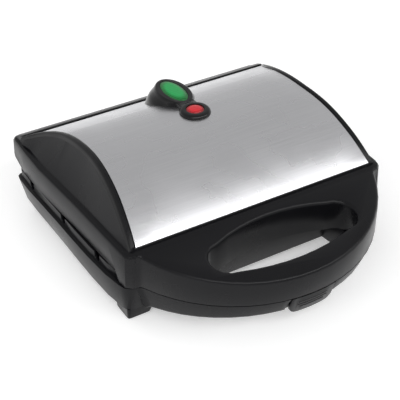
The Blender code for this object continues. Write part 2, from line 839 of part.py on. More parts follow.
def base_housing(paint):
    rings = [raise_ring(base_bottom_outline(BASE_EDGE), FLOOR_HEIGHT)]
    rings.append(raise_ring(base_bottom_outline(0.0), FLOOR_HEIGHT + BASE_EDGE))
    rings.append(raise_ring(base_outline(0.0), RIM_HEIGHT))
    housing = new_object("base_housing", loft(rings), paint)
    lip_top = RIM_HEIGHT + LIP_HEIGHT
    lip = new_object("base_lip", upright(lip_outline(0.0), RIM_HEIGHT - SINK, lip_top))
    join(housing, lip, lower_handle(), base_legs())
    step = RIM_HEIGHT - WALL
    room = [raise_ring(base_bottom_outline(WALL), FLOOR_HEIGHT + WALL)]
    room.append(raise_ring(base_outline(WALL + GAP), step - GAP))
    room += [raise_ring(lip_outline(LIP_WALL), height) for height in (step, lip_top + OVERRUN)]
    cut(housing, new_object("base_room", loft(room)), lower_handle_room(), lower_finger_hole())
    join(housing, base_ears(), base_posts(), latch_keeper())
    cut(housing, stick_notches(), latch_notch(), hinge_bores("base_hinge_bores"), base_vents())
    cut(housing, gland_hole(), pad_seats())
    return housing


def leg_places():
    # Outer corner of each leg: side, end and the Y of its outer face.
    widest = BASE_HALF_WIDTH + BASE_DRAFT
    front = BODY_FRONT + BASE_DRAFT + LEG_FRONT_INSET
    rear = BASE_REAR - BASE_DRAFT - LEG_REAR_INSET
    front_x = widest * base_bottom_shares[0][1] - BASE_DRAFT - LEG_FRONT_INSET
    rear_x = widest * base_bottom_shares[-1][1] - BASE_DRAFT - LEG_REAR_INSET
    places = []
    for side in (-1, 1):
        places.append((side, -1, side * front_x, front))
        places.append((side, 1, side * rear_x, rear))
    return places


def base_legs():
    bm = bmesh.new()
    for side, end, x, y in leg_places():
        rings = []
        for height, grow in ((LEG_CLEAR, 0.0), (FLOOR_HEIGHT + BASE_EDGE, LEG_FLARE)):
            inner_x = x - side * (LEG_WIDTH + grow)
            inner_y = y - end * (LEG_LENGTH + grow)
            corners = [(x, y), (x, inner_y), (inner_x, inner_y), (inner_x, y)]
            rings.append(raise_ring(round_corners(corners, [LEG_CORNER] * 4), height))
        solid = loft(rings)
        add_solid(bm, solid)
    return new_object("base_legs", bm)


def pad_places():
    places = []
    for side, end, x, y in leg_places():
        places.append((side, end, x - side * LEG_WIDTH / 2, y - end * LEG_LENGTH / 2))
    return places


def pad_seats():
    bm = bmesh.new()
    for side, end, x, y in pad_places():
        start, end = (x, y, -OVERRUN), (x, y, LEG_CLEAR + PAD_SEAT + GAP)
        add_cylinder(bm, PAD_RADIUS + GAP, start, end, DISC_STEPS)
    return new_object("pad_seats", bm)


def pad(name, x, y, paint):
    height = LEG_CLEAR + PAD_SEAT
    edge = PAD_SEAT / 4
    profile = [(0.0, height), (PAD_RADIUS, height), (PAD_RADIUS, edge)]
    profile += [(PAD_RADIUS - edge, 0.0), (0.0, 0.0)]
    obj = turned(name, profile, paint, DISC_STEPS)
    obj.location = (x, y, 0.0)
    return obj


def stick_notches():
    # U-shaped notches in the lip, in line with the stick channels of the plates.
    bm = bmesh.new()
    radius = NOTCH_WIDTH / 2
    top = RIM_HEIGHT + LIP_HEIGHT + OVERRUN
    for side in (-1, 1):
        for row in row_places():
            outline = [Vector((row + radius, top)), Vector((row - radius, top))]
            for step in range(7):
                angle = math.pi * step / 6
                place = row - radius * math.cos(angle)
                outline.append(Vector((place, PLATE_FACE - radius * math.sin(angle))))
            inner, outer = PLATE_HALF_WIDTH + GAP, BASE_HALF_WIDTH + OVERRUN
            solid = sideways(outline, side * inner, side * outer)
            add_solid(bm, solid)
    return new_object("stick_notches", bm)


def base_vents():
    bm = bmesh.new()
    low, high = FLOOR_HEIGHT - OVERRUN, FLOOR_HEIGHT + WALL + SINK
    for side in (-1, 1):
        for index in range(VENT_COUNT):
            y = ROW_MIDDLE + VENT_PITCH * (index - (VENT_COUNT - 1) / 2)
            x = side * VENT_PLACE
            corner = (x - VENT_LENGTH / 2, y - VENT_WIDTH / 2, low)
            add_box(bm, corner, (x + VENT_LENGTH / 2, y + VENT_WIDTH / 2, high))
    return new_object("base_vents", bm)


def base_posts():
    # Posts under the plate's bosses, with a shoulder that carries the heat shield.
    bm = bmesh.new()
    top = PLATE_FACE - FLANGE - BOSS_DEPTH - GAP
    shoulder = lower_shield_height() - GAP
    for x, y in post_places():
        rings = []
        for radius, height in (
            (POST_SHOULDER_RADIUS, FLOOR_HEIGHT + WALL / 2), (POST_SHOULDER_RADIUS, shoulder),
            (POST_RADIUS, shoulder), (POST_RADIUS, top),
        ):
            rings.append(circle(x, y, radius, height, ROUND_STEPS))
        solid = loft(rings)
        add_solid(bm, solid)
    posts = new_object("base_posts", bm)
    holes = bmesh.new()
    for x, y in post_places():
        low = PLATE_FACE - SCREW_RECESS - SCREW_LENGTH - GAP
        add_cylinder(holes, SCREW_RADIUS + GAP, (x, y, low), (x, y, top + OVERRUN), FINE_STEPS)
    cut(posts, new_object("base_post_holes", holes))
    return posts


def lower_shield_height():
    return PLATE_FACE - CAVITY_DEPTH - PLATE_WALL - SHIELD_CLEARANCE - SHIELD_THICKNESS


def upper_shield_height():
    return PLATE_FACE + PLATE_GAP + CAVITY_DEPTH + PLATE_WALL + SHIELD_CLEARANCE


def base_ears():
    # Four ears on the rear wall, two beside each knuckle of the lid.
    bm = bmesh.new()
    half = KNUCKLE_WIDTH / 2 + GAP
    for side in (-1, 1):
        for inner in (KNUCKLE_PLACE - half - EAR_WIDTH, KNUCKLE_PLACE + half):
            outline = [Vector((BASE_REAR - WALL, RIM_HEIGHT - SINK))]
            outline.append(Vector((BASE_REAR - WALL / 2, RIM_HEIGHT - EAR_FOOT_DROP)))
            for step in range(9):
                angle = math.radians(-30) + math.radians(240) * step / 8
                y = HINGE_PLACE + HINGE_RADIUS * math.cos(angle)
                outline.append(Vector((y, HINGE_HEIGHT + HINGE_RADIUS * math.sin(angle))))
            solid = sideways(outline, side * inner, side * (inner + EAR_WIDTH))
            add_solid(bm, solid)
    return new_object("base_ears", bm)


def hinge_bores(name):
    bm = bmesh.new()
    reach = KNUCKLE_WIDTH / 2 + EAR_WIDTH + OVERRUN
    for side in (-1, 1):
        low = (side * KNUCKLE_PLACE - reach, HINGE_PLACE, HINGE_HEIGHT)
        high = (side * KNUCKLE_PLACE + reach, HINGE_PLACE, HINGE_HEIGHT)
        add_cylinder(bm, HINGE_PIN_RADIUS + GAP, low, high, ROUND_STEPS)
    return new_object(name, bm)


def hinge_pin(name, side, paint):
    reach = KNUCKLE_WIDTH / 2 + GAP + EAR_WIDTH
    head = reach + GAP + HINGE_PIN_HEAD
    profile = [(0.0, head), (HINGE_PIN_HEAD_RADIUS, head), (HINGE_PIN_HEAD_RADIUS, reach + GAP)]
    profile += [(HINGE_PIN_RADIUS, reach + GAP), (HINGE_PIN_RADIUS, -reach - GAP), (0.0, -reach - GAP)]
    obj = turned(name, profile, paint, ROUND_STEPS)
    obj.rotation_euler = (0.0, side * math.pi / 2, 0.0)
    obj.location = (side * KNUCKLE_PLACE, HINGE_PLACE, HINGE_HEIGHT)
    return obj


def lid_knuckles():
    bm = bmesh.new()
    half = KNUCKLE_WIDTH / 2
    top = LID_TOP - WALL / 2
    for side in (-1, 1):
        outline = [Vector((LID_REAR - WALL / 2, top)), Vector((HINGE_PLACE - HINGE_RADIUS, top))]
        for step in range(9):
            angle = math.radians(180) + math.radians(200) * step / 8
            y = HINGE_PLACE + HINGE_RADIUS * math.cos(angle)
            outline.append(Vector((y, HINGE_HEIGHT + HINGE_RADIUS * math.sin(angle))))
        outline.append(Vector((LID_REAR - WALL / 2, REAR_SKIRT_HEIGHT + SINK)))
        solid = sideways(outline, side * KNUCKLE_PLACE - half, side * KNUCKLE_PLACE + half)
        add_solid(bm, solid)
    return new_object("lid_knuckles", bm)


def gland_hole():
    start = (GLAND_PLACE, BASE_REAR - GLAND_LENGTH, GLAND_HEIGHT)
    end = (GLAND_PLACE, BASE_REAR + OVERRUN, GLAND_HEIGHT)
    return new_object("gland_hole", cylinder(GLAND_RADIUS + GAP, start, end, DISC_STEPS))


def cord_gland(paint):
    # A bush with a flange on each side of the rear wall, turned about the line of the cord.
    wall_share = (RIM_HEIGHT - GLAND_HEIGHT - GLAND_FLANGE_RADIUS) / (RIM_HEIGHT - FLOOR_HEIGHT)
    outer = BASE_REAR - BASE_DRAFT * wall_share + GAP
    inner_share = (RIM_HEIGHT - GLAND_HEIGHT + GLAND_FLANGE_RADIUS) / (RIM_HEIGHT - FLOOR_HEIGHT)
    inner = BASE_REAR - BASE_DRAFT * inner_share - WALL - GAP * 2
    tail = outer + GLAND_LENGTH / 3
    profile = [
        (GLAND_BORE, tail), (GLAND_RADIUS - GAP, tail), (GLAND_RADIUS, outer + GLAND_FLANGE),
        (GLAND_FLANGE_RADIUS, outer + GLAND_FLANGE), (GLAND_FLANGE_RADIUS, outer), (GLAND_RADIUS, outer),
        (GLAND_RADIUS, inner), (GLAND_RADIUS + GLAND_FLANGE / 2, inner),
        (GLAND_RADIUS + GLAND_FLANGE / 2, inner - GLAND_FLANGE), (GLAND_BORE, inner - GLAND_FLANGE),
    ]
    obj = turned("cord_gland", profile, paint, DISC_STEPS)
    obj.rotation_euler = (-math.pi / 2, 0.0, 0.0)
    obj.location = (GLAND_PLACE, 0.0, GLAND_HEIGHT)
    return obj


def latch_pivot():
    return BOW_CENTRE - BOW_RADIUS + LATCH_PIVOT_SETBACK


def latch_bar(radius, half):
    # A bar along the latch's axis, for its pin and the bores round it.
    pivot = latch_pivot()
    start, end = (-half, pivot, LATCH_PIVOT_HEIGHT), (half, pivot, LATCH_PIVOT_HEIGHT)
    return cylinder(radius, start, end, ROUND_STEPS)


def keeper_front():
    return latch_pivot() + LATCH_NECK_THICKNESS + 2 * KEEPER_GAP


def latch_keeper():
    # A ledge on the finger hole's wall, over the latch's hook.
    half = LATCH_NECK_WIDTH / 2 + WALL
    low = LATCH_HOOK_TOP + KEEPER_GAP
    bm = box((-half, keeper_front(), low), (half, HOLE_FRONT + SINK, RIM_HEIGHT - GAP))
    return new_object("latch_keeper", bm)


def latch_notch():
    # The gap in the lower handle's front wall, wider at the bottom.
    front = BOW_CENTRE - BOW_RADIUS - OVERRUN
    back = keeper_front() - GAP
    top_half = LATCH_TAB_WIDTH / 2 + LATCH_SIDE_GAP
    low_half = top_half + LATCH_NOTCH_SPREAD
    rings = []
    for y in (front, back):
        rings.append([
            Vector((-low_half, y, FLOOR_HEIGHT)), Vector((low_half, y, FLOOR_HEIGHT)),
            Vector((top_half, y, RIM_HEIGHT + SINK)), Vector((-top_half, y, RIM_HEIGHT + SINK)),
        ])
    return new_object("latch_notch", loft(rings))


def latch_clip(paint):
    pivot = latch_pivot()
    neck = pivot + KEEPER_GAP
    neck_rear = neck + LATCH_NECK_THICKNESS
    web_low = LATCH_WEB_TOP - LATCH_HOOK_THICKNESS
    hook_low = LATCH_HOOK_TOP - LATCH_HOOK_THICKNESS
    web_front = BOW_CENTRE - BOW_RADIUS + LATCH_TAB_THICKNESS
    outline = [
        Vector((web_front, LATCH_WEB_TOP)), Vector((web_front, web_low)), Vector((neck, web_low)),
        Vector((neck, hook_low)), Vector((neck_rear, hook_low)),
        Vector((neck_rear + LATCH_HOOK_REACH, LATCH_HOOK_TOP - LATCH_HOOK_THICKNESS / 3)),
        Vector((neck_rear + LATCH_HOOK_REACH, LATCH_HOOK_TOP)), Vector((neck_rear, LATCH_HOOK_TOP)),
    ]
    for step in range(9):
        angle = math.radians(-20) + math.radians(250) * step / 8
        y = pivot + LATCH_LUG_RADIUS * math.cos(angle)
        outline.append(Vector((y, LATCH_PIVOT_HEIGHT + LATCH_LUG_RADIUS * math.sin(angle))))
    outline.append(Vector((neck, LATCH_PIVOT_HEIGHT - LATCH_LUG_RADIUS - SINK)))
    outline.append(Vector((neck, LATCH_WEB_TOP)))
    half = LATCH_NECK_WIDTH / 2
    clip = new_object("latch_clip", sideways(outline, -half, half), paint)
    join(clip, latch_tab())
    cut(clip, new_object("latch_bore", latch_bar(LATCH_PIN_RADIUS + GAP, half + OVERRUN)))
    return clip


def latch_tab_top():
    return RIM_HEIGHT - GAP / 2


def latch_tab_radius(height):
    # The tab's outer face leans in towards its bottom, as the handle's does.
    return BOW_RADIUS - LATCH_TAB_TAPER * (latch_tab_top() - height) / (latch_tab_top() - LATCH_TAB_BOTTOM)


def bow_point(radius, angle, height):
    return Vector((radius * math.sin(angle), BOW_CENTRE - radius * math.cos(angle), height))


def latch_tab():
    # A curved plate flush with the handle's face, with rounded lower corners and grip ribs.
    half_angle = math.asin(LATCH_TAB_WIDTH / 2 / BOW_RADIUS) * 1.1
    top = latch_tab_top()
    outer = latch_tab_radius(LATCH_TAB_BOTTOM)
    corners = (
        (outer, LATCH_TAB_BOTTOM), (BOW_RADIUS, top),
        (BOW_RADIUS - LATCH_TAB_THICKNESS, top - LATCH_TAB_CHAMFER),
        (outer - LATCH_TAB_THICKNESS, LATCH_TAB_BOTTOM),
    )
    rings = []
    for step in range(9):
        angle = half_angle * (step - 4) / 4
        rings.append([bow_point(radius, angle, height) for radius, height in corners])
    tab = new_object("latch_tab", loft(rings))
    half = LATCH_TAB_WIDTH / 2
    face = [(half, LATCH_TAB_BOTTOM), (half, RIM_HEIGHT + SINK)]
    face += [(-half, RIM_HEIGHT + SINK), (-half, LATCH_TAB_BOTTOM)]
    rounded = round_corners(face, [LATCH_TAB_CORNER, 0.0, 0.0, LATCH_TAB_CORNER], 4)
    front, back = BOW_CENTRE - BOW_RADIUS - OVERRUN, BOW_CENTRE - BOW_RADIUS + 3 * OVERRUN
    rings = [[Vector((point.x, y, point.y - SINK / 10)) for point in rounded] for y in (front, back)]
    combine(tab, new_object("latch_tab_face", loft(rings)), "INTERSECT")
    ribs = bmesh.new()
    for index in range(GRIP_RIB_COUNT):
        height = LATCH_TAB_BOTTOM + LATCH_TAB_CORNER + GRIP_RIB_PITCH * (index - 1)
        face_radius = latch_tab_radius(height)
        reach_share = 0.62 if index else 0.5
        section = (
            (face_radius - GRIP_RIB_HEIGHT, height - GRIP_RIB_HEIGHT),
            (face_radius + GRIP_RIB_HEIGHT / 2, height),
            (face_radius - GRIP_RIB_HEIGHT, height + GRIP_RIB_HEIGHT),
        )
        rings = []
        for step in range(7):
            angle = half_angle * reach_share * (step - 3) / 3
            rings.append([bow_point(radius, angle, level) for radius, level in section])
        solid = loft(rings)
        add_solid(ribs, solid)
    join(tab, new_object("latch_grip_ribs", ribs))
    return tab


def latch_pin(paint):
    return new_object("latch_pin", latch_bar(LATCH_PIN_RADIUS, LATCH_PIN_LENGTH / 2), paint)


def dome_section(place, inner):
    # Right half of the lid's raised part at one place along Y, from its foot up to the steel's seat.
    share = steel_share(place)
    width = steel_half_width(place)
    top = arch_height(place)
    bead = BEAD_WIDTH * blend(bead_width_shares, share)
    foot = max(lid_half_width(place) - LEDGE, width + bead)
    seat = arch_below(place, STEEL_THICKNESS + SEAT_GAP)
    shoulder = max(top - BEAD_DROP, LID_TOP)
    if inner:
        roof = arch_below(place, STEEL_THICKNESS + SEAT_GAP + WALL)
        thick = 1.3 * WALL
        return [
            (foot - thick, LID_TOP - 2 * WALL), (foot - thick, LID_TOP - WALL / 2),
            (width + bead - thick, min(shoulder, roof) - thick / 3), (width - thick, roof),
        ]
    return [
        (foot, LID_TOP - SINK), (foot, LID_TOP), (width + bead, shoulder),
        (width + bead * 0.75, top + BEAD_RISE * 0.5), (width + bead * 0.45, top + BEAD_RISE),
        (width + SEAT_SIDE_GAP, top + BEAD_RISE * 0.6), (width + SEAT_SIDE_GAP, seat),
    ]


def dome(name, places, inner):
    rings = []
    for place in places:
        right = dome_section(place, inner)
        ring = [Vector((x, place, z)) for x, z in right]
        rings.append(ring + [Vector((-point.x, place, point.z)) for point in reversed(ring)])
    return new_object(name, loft(rings))


def rear_hip(name, inner):
    # The black strip behind the steel, sloping to the rear rim.
    front = STEEL_REAR + SEAT_GAP
    rear = LID_REAR - LID_EDGE
    top = STEEL_REAR_HEIGHT + BEAD_RISE
    outline = [
        Vector((front, LID_TOP - SINK)), Vector((front, top)), Vector((front + SINK, top)),
        Vector((front + (rear - front) * hip_place_share, LID_TOP + (top - LID_TOP) * hip_height_share)),
        Vector((rear - SINK, LID_TOP + SINK / 2)), Vector((rear, LID_TOP - SINK / 2)),
        Vector((rear, LID_TOP - SINK)),
    ]
    half = lid_half_width(LID_REAR) - LID_EDGE
    drawn = half - SINK
    if inner:
        front -= 3 * WALL
        top -= WALL
        rear -= WALL
        outline = [
            Vector((front, LID_TOP - 2 * WALL)), Vector((front, top - WALL)),
            Vector((front + 3 * WALL, top - WALL / 2)),
            Vector((rear, LID_TOP - WALL)), Vector((rear, LID_TOP - 2 * WALL)),
        ]
        half = drawn = steel_half_width(STEEL_REAR) - 2 * WALL
    rings = []
    for side in (-1, 1):
        ring = []
        for point in outline:
            lift_share = (point.y - LID_TOP) / (top - LID_TOP)
            x = half + (drawn - half) * max(lift_share, 0.0)
            ring.append(Vector((side * x, point.x, point.y)))
        rings.append(ring)
    return new_object(name, loft(rings))


def lid_housing(paint):
    parting = RIM_HEIGHT + PARTING_GAP
    levels = (
        (parting, -LID_FLARE), (LID_TOP - LID_EDGE, 0.0),
        (LID_TOP - LID_EDGE / 3, LID_EDGE / 3), (LID_TOP, LID_EDGE),
    )
    rings = [raise_ring(lid_outline(inset), height) for height, inset in levels]
    housing = hang(new_object("lid_housing", loft(rings), paint), lid_axis)
    places = arch_places()
    outer_places = [STEEL_FRONT + GAP] + places[1:-1] + [STEEL_REAR + 2 * SEAT_GAP]
    join(housing, dome("lid_dome", outer_places, False), rear_hip("lid_rear_hip", False))
    join(housing, upper_handle())
    cut(housing, skirt_cut())
    room = [raise_ring(lid_outline(WALL - LID_FLARE), parting - OVERRUN)]
    room += [raise_ring(lid_outline(WALL), LID_TOP - WALL)]
    frame_room = new_object("lid_room", loft(room))
    inner_places = [STEEL_FRONT + 2 * WALL] + places[1:-1] + [STEEL_REAR - WALL]
    dome_room = dome("lid_dome_room", inner_places, True)
    hip_room = rear_hip("lid_hip_room", True)
    join(frame_room, dome_room, hip_room)
    cut(frame_room, lid_posts())
    cut(housing, frame_room, upper_handle_room(), upper_finger_hole())
    join(housing, lid_knuckles())
    cut(housing, hinge_bores("lid_hinge_bores"), latch_pin_bores())
    cut(housing, stem_holes("lid_stem_holes"), lid_post_holes())
    return housing


def skirt_cut():
    # Everything below the lid's side and rear skirt, behind the front corners.
    level = RIM_HEIGHT + LIP_HEIGHT + SKIRT_GAP
    start = BODY_FRONT + SKIRT_STEP_PLACE
    low = FLOOR_HEIGHT
    far = LID_REAR + OVERRUN
    outline = [
        Vector((start, low)), Vector((start, RIM_HEIGHT + PARTING_GAP)),
        Vector((start + SKIRT_STEP_LENGTH, level)),
        Vector((LID_REAR - SKIRT_RELIEF_PLACE, level)), Vector((LID_REAR - SINK, REAR_SKIRT_HEIGHT)),
        Vector((far, REAR_SKIRT_HEIGHT)), Vector((far, low)),
    ]
    half = LID_HALF_WIDTH + OVERRUN
    return new_object("lid_skirt_cut", sideways(outline, -half, half))


def lid_posts():
    # Posts that come down from the roof to the plate's bosses, with a shoulder over the heat shield.
    bm = bmesh.new()
    bottom = PLATE_FACE + PLATE_GAP + FLANGE + BOSS_DEPTH + GAP
    shoulder = upper_shield_height() + SHIELD_THICKNESS + GAP
    for x, y in post_places():
        rings = []
        for radius, height in (
            (POST_RADIUS, bottom), (POST_RADIUS, shoulder), (POST_SHOULDER_RADIUS, shoulder),
            (POST_SHOULDER_RADIUS, STEEL_CREST),
        ):
            rings.append(circle(x, y, radius, height, ROUND_STEPS))
        solid = loft(rings)
        add_solid(bm, solid)
    return new_object("lid_posts", bm)


def lid_post_holes():
    bm = bmesh.new()
    face = PLATE_FACE + PLATE_GAP
    for x, y in post_places():
        top = face + SCREW_RECESS + SCREW_LENGTH + GAP
        add_cylinder(bm, SCREW_RADIUS + GAP, (x, y, face), (x, y, top), FINE_STEPS)
    return new_object("lid_post_holes", bm)


def latch_bosses():
    # Two ribs across the handle that carry the latch pin.
    bm = bmesh.new()
    half = LATCH_NECK_WIDTH / 2 + GAP
    low = LATCH_PIVOT_HEIGHT - LATCH_LUG_RADIUS
    for side in (-1, 1):
        inner, outer = sorted((side * half, side * (half + LATCH_BOSS_WIDTH)))
        add_box(bm, (inner, BOW_CENTRE - BOW_RADIUS, low), (outer, HOLE_FRONT, LID_TOP))
    return new_object("latch_bosses", bm)


def latch_pin_bores():
    return new_object("latch_pin_bores", latch_bar(LATCH_PIN_RADIUS + GAP, LATCH_PIN_LENGTH / 2 + GAP))


def upper_finger_hole():
    # The hole through the upper handle, flared where it meets the sloping top.
    rings = [raise_ring(hole_outline(0.0), FLOOR_HEIGHT)]
    for down, inset in edge_levels(HOLE_FLARE):
        rings.append(slant(hole_outline(inset), handle_top_slope_share, HANDLE_TOP - down))
    rings.append(slant(hole_outline(HOLE_FLARE), handle_top_slope_share, HANDLE_TOP + OVERRUN))
    return new_object("lid_finger_hole", loft(rings))


def stem_holes(name):
    bm = bmesh.new()
    radius = LAMP_RADIUS + GAP + STEM_WALL + GAP
    for place in (GREEN_PLACE, RED_PLACE):
        add_cylinder(bm, radius, (0.0, place, LID_TOP), (0.0, place, STEEL_CREST + OVERRUN), DISC_STEPS)
    return new_object(name, bm)


def steel_cover(paint):
    # An open arched surface with waisted edges, thickened downwards.
    bm = bmesh.new()
    rows = []
    for place in arch_places():
        width = steel_half_width(place)
        height = arch_height(place)
        rows.append([bm.verts.new((width * across, place, height)) for across in (-1.0, 0.0, 1.0)])
    for near, far in zip(rows, rows[1:]):
        for index in range(2):
            bm.faces.new((near[index], near[index + 1], far[index + 1], far[index]))
    cover = hang(new_object("steel_cover", bm, paint), lid_axis)
    solid = cover.modifiers.new("thickness", "SOLIDIFY")
    solid.thickness = STEEL_THICKNESS
    solid.offset = -1.0
    solid.use_even_offset = True
    cut(cover, stem_holes("steel_stem_holes"))
    return cover


def oval(half_width, half_length, place, height, steps=OVAL_STEPS):
    ring = []
    for step in range(steps):
        angle = 2 * math.pi * step / steps
        ring.append(Vector((half_width * math.cos(angle), place + half_length * math.sin(angle), height)))
    return ring


def lens_seat():
    return BEZEL_TOP - LENS_DEPTH


def indicator_bezel(paint):
    rings = []
    rise = BEZEL_TOP - TURRET_FOOT
    for height_share, width_share, length_share, shift_share in turret_shares:
        rings.append(oval(
            TURRET_FOOT_WIDTH * width_share, TURRET_FOOT_LENGTH * length_share,
            GREEN_PLACE + TURRET_SHIFT * shift_share, TURRET_FOOT + rise * height_share,
        ))
    bezel = hang(new_object("indicator_bezel", loft(rings), paint), lid_axis)
    ring = []
    for radius, height in (
        (RING_RADIUS, TURRET_FOOT), (RING_RADIUS, STEEL_CREST),
        (RING_RADIUS - SINK / 2, BEZEL_TOP - SINK / 3), (RING_TOP_RADIUS, BEZEL_TOP + GAP),
    ):
        ring.append(oval(radius, radius, RED_PLACE, height))
    neck = rectangle(NECK_HALF_WIDTH, RED_PLACE, GREEN_PLACE, SINK)
    neck_top = rectangle(NECK_HALF_WIDTH - SINK, RED_PLACE, GREEN_PLACE, SINK)
    rings = [raise_ring(neck, TURRET_FOOT + SINK), raise_ring(neck, STEEL_CREST)]
    rings.append(raise_ring(neck_top, BEZEL_TOP - GAP))
    join(bezel, new_object("bezel_ring", loft(ring)), new_object("bezel_neck", loft(rings)))
    under = [Vector((place, arch_below(place, -GAP))) for place in arch_places()[2:]]
    under += [Vector((STEEL_REAR, LID_TOP)), Vector((arch_places()[2], LID_TOP))]
    reach = TURRET_FOOT_WIDTH + OVERRUN
    underside = new_object("bezel_underside", sideways(under, -reach, reach))
    stems = bmesh.new()
    stem_radius = LAMP_RADIUS + GAP + STEM_WALL
    for place in (GREEN_PLACE, RED_PLACE):
        low = arch_height(place) - STEM_LENGTH
        add_cylinder(stems, stem_radius, (0.0, place, low), (0.0, place, BEZEL_TOP), DISC_STEPS)
    cut(underside, new_object("bezel_stems", stems))
    cut(bezel, underside)
    green_recess = new_object("bezel_green_recess", loft([
        oval(GREEN_HALF_WIDTH + GAP, GREEN_HALF_LENGTH + GAP, GREEN_PLACE, lens_seat()),
        oval(GREEN_HALF_WIDTH + GAP, GREEN_HALF_LENGTH + GAP, GREEN_PLACE, BEZEL_TOP + OVERRUN),
    ]))
    red_recess = new_object("bezel_red_recess", loft([
        oval(RED_RADIUS + GAP, RED_RADIUS + GAP, RED_PLACE, lens_seat()),
        oval(RED_RADIUS + GAP, RED_RADIUS + GAP, RED_PLACE, BEZEL_TOP + OVERRUN),
    ]))
    bores = bmesh.new()
    for place in (GREEN_PLACE, RED_PLACE):
        start, end = (0.0, place, LID_TOP), (0.0, place, BEZEL_TOP + OVERRUN)
        add_cylinder(bores, LAMP_RADIUS + GAP, start, end, ROUND_STEPS)
    cut(bezel, green_recess, red_recess, new_object("bezel_lamp_bores", bores))
    return bezel


def lens(name, half_width, half_length, place, paint):
    low = lens_seat() + GAP
    side = low + LENS_THICKNESS
    rings = [oval(half_width, half_length, place, low), oval(half_width, half_length, place, side)]
    for share in (0.85, 0.6, 0.3):
        rise = LENS_DOME * (1 - share**2)
        rings.append(oval(half_width * share, half_length * share, place, side + rise))
    return hang(new_object(name, loft(rings), paint), lid_axis)


def lamp(name, place, paint):
    top = lens_seat() - GAP
    profile = [
        (0.0, top), (LAMP_RADIUS * 0.6, top - LAMP_RADIUS * 0.15), (LAMP_RADIUS, top - LAMP_RADIUS * 0.6),
        (LAMP_RADIUS, top - LAMP_LENGTH), (0.0, top - LAMP_LENGTH),
    ]
    obj = turned(name, profile, paint, ROUND_STEPS)
    obj.location = (0.0, place, 0.0)
    return hang(obj, lid_axis)


def thermostat(paint):
    # A snap disc under the lower plate's middle boss, with two spade terminals.
    top = PLATE_FACE - FLANGE - THERMOSTAT_BOSS_DEPTH - GAP
    low = top - THERMOSTAT_HEIGHT
    body = cylinder(THERMOSTAT_RADIUS, (0.0, ROW_MIDDLE, low), (0.0, ROW_MIDDLE, top), DISC_STEPS)
    disc = new_object("thermostat", body, paint)
    spades = bmesh.new()
    for side in (-1, 1):
        x = side * THERMOSTAT_RADIUS / 2
        half = TERMINAL_THICKNESS / 2
        corner = (x - half, ROW_MIDDLE - TERMINAL_WIDTH / 2, low - TERMINAL_LENGTH / 2)
        add_box(spades, corner, (x + half, ROW_MIDDLE + TERMINAL_WIDTH / 2, low + SINK))
    join(disc, new_object("thermostat_terminals", spades))
    return disc


def thermal_fuse(paint):
    # A small cylinder lying on the upper plate's middle boss.
    height = PLATE_FACE + PLATE_GAP + FLANGE + THERMOSTAT_BOSS_DEPTH + GAP + FUSE_RADIUS
    half = FUSE_LENGTH / 2
    profile = [
        (0.0, half), (FUSE_RADIUS / 2, half), (FUSE_RADIUS, half - FUSE_RADIUS / 2),
        (FUSE_RADIUS, -half + FUSE_RADIUS / 2), (FUSE_RADIUS / 2, -half), (0.0, -half),
    ]
    obj = turned("thermal_fuse", profile, paint, ROUND_STEPS)
    obj.rotation_euler = (0.0, math.pi / 2, 0.0)
    obj.location = (0.0, ROW_MIDDLE, height)
    return hang(obj, lid_axis)


def terminal_block(paint):
    # A block with two wire holes and two screw holes, standing on the base's floor.
    low = FLOOR_HEIGHT + WALL + GAP
    half = BLOCK_WIDTH / 2
    front, rear = BLOCK_PLACE - BLOCK_DEPTH / 2, BLOCK_PLACE + BLOCK_DEPTH / 2
    block = new_object("terminal_block", box((-half, front, low), (half, rear, low + BLOCK_HEIGHT)), paint)
    wires = bmesh.new()
    screws = bmesh.new()
    radius = BLOCK_HEIGHT / 5
    for side in (-1, 1):
        x = side * half / 2
        height = low + BLOCK_HEIGHT * 0.4
        add_cylinder(wires, radius, (x, front - OVERRUN, height), (x, rear + OVERRUN, height), ROUND_STEPS)
        top = low + BLOCK_HEIGHT
        add_cylinder(screws, radius, (x, BLOCK_PLACE, height), (x, BLOCK_PLACE, top + OVERRUN), ROUND_STEPS)
    cut(block, new_object("block_wire_holes", wires), new_object("block_screw_holes", screws))
    return block


for leftover in list(bpy.data.objects):
    bpy.data.objects.remove(leftover, do_unlink=True)

parts = add_collection("corn_dog_maker")
cutters = add_collection("cutters")

black = material("black_plastic", (0.012, 0.012, 0.013), 0.32, 0.0)
bead_black = material("bezel_black", (0.010, 0.010, 0.011), 0.22, 0.0)
steel = material("brushed_steel", (0.56, 0.56, 0.57), 0.34, 1.0)
green = material("green_lens", (0.0, 0.32, 0.09), 0.12, 0.0)
red = material("red_lens", (0.62, 0.01, 0.02), 0.12, 0.0)
coating = material("plate_coating", (0.035, 0.034, 0.034), 0.42, 0.0)
tube_steel = material("heater_steel", (0.22, 0.22, 0.23), 0.45, 1.0)
tin = material("shield_tin", (0.62, 0.63, 0.65), 0.30, 1.0)
pin_steel = material("pin_steel", (0.50, 0.50, 0.52), 0.28, 1.0)
rubber = material("pad_rubber", (0.020, 0.020, 0.020), 0.80, 0.0)
ceramic = material("block_ceramic", (0.78, 0.76, 0.71), 0.55, 0.0)
neon = material("lamp_glass", (0.80, 0.70, 0.62), 0.08, 0.0)

lid_axis = place_empty("lid_axis", (0.0, HINGE_PLACE, HINGE_HEIGHT))
latch_axis = place_empty("latch_axis", (0.0, latch_pivot(), LATCH_PIVOT_HEIGHT), lid_axis)

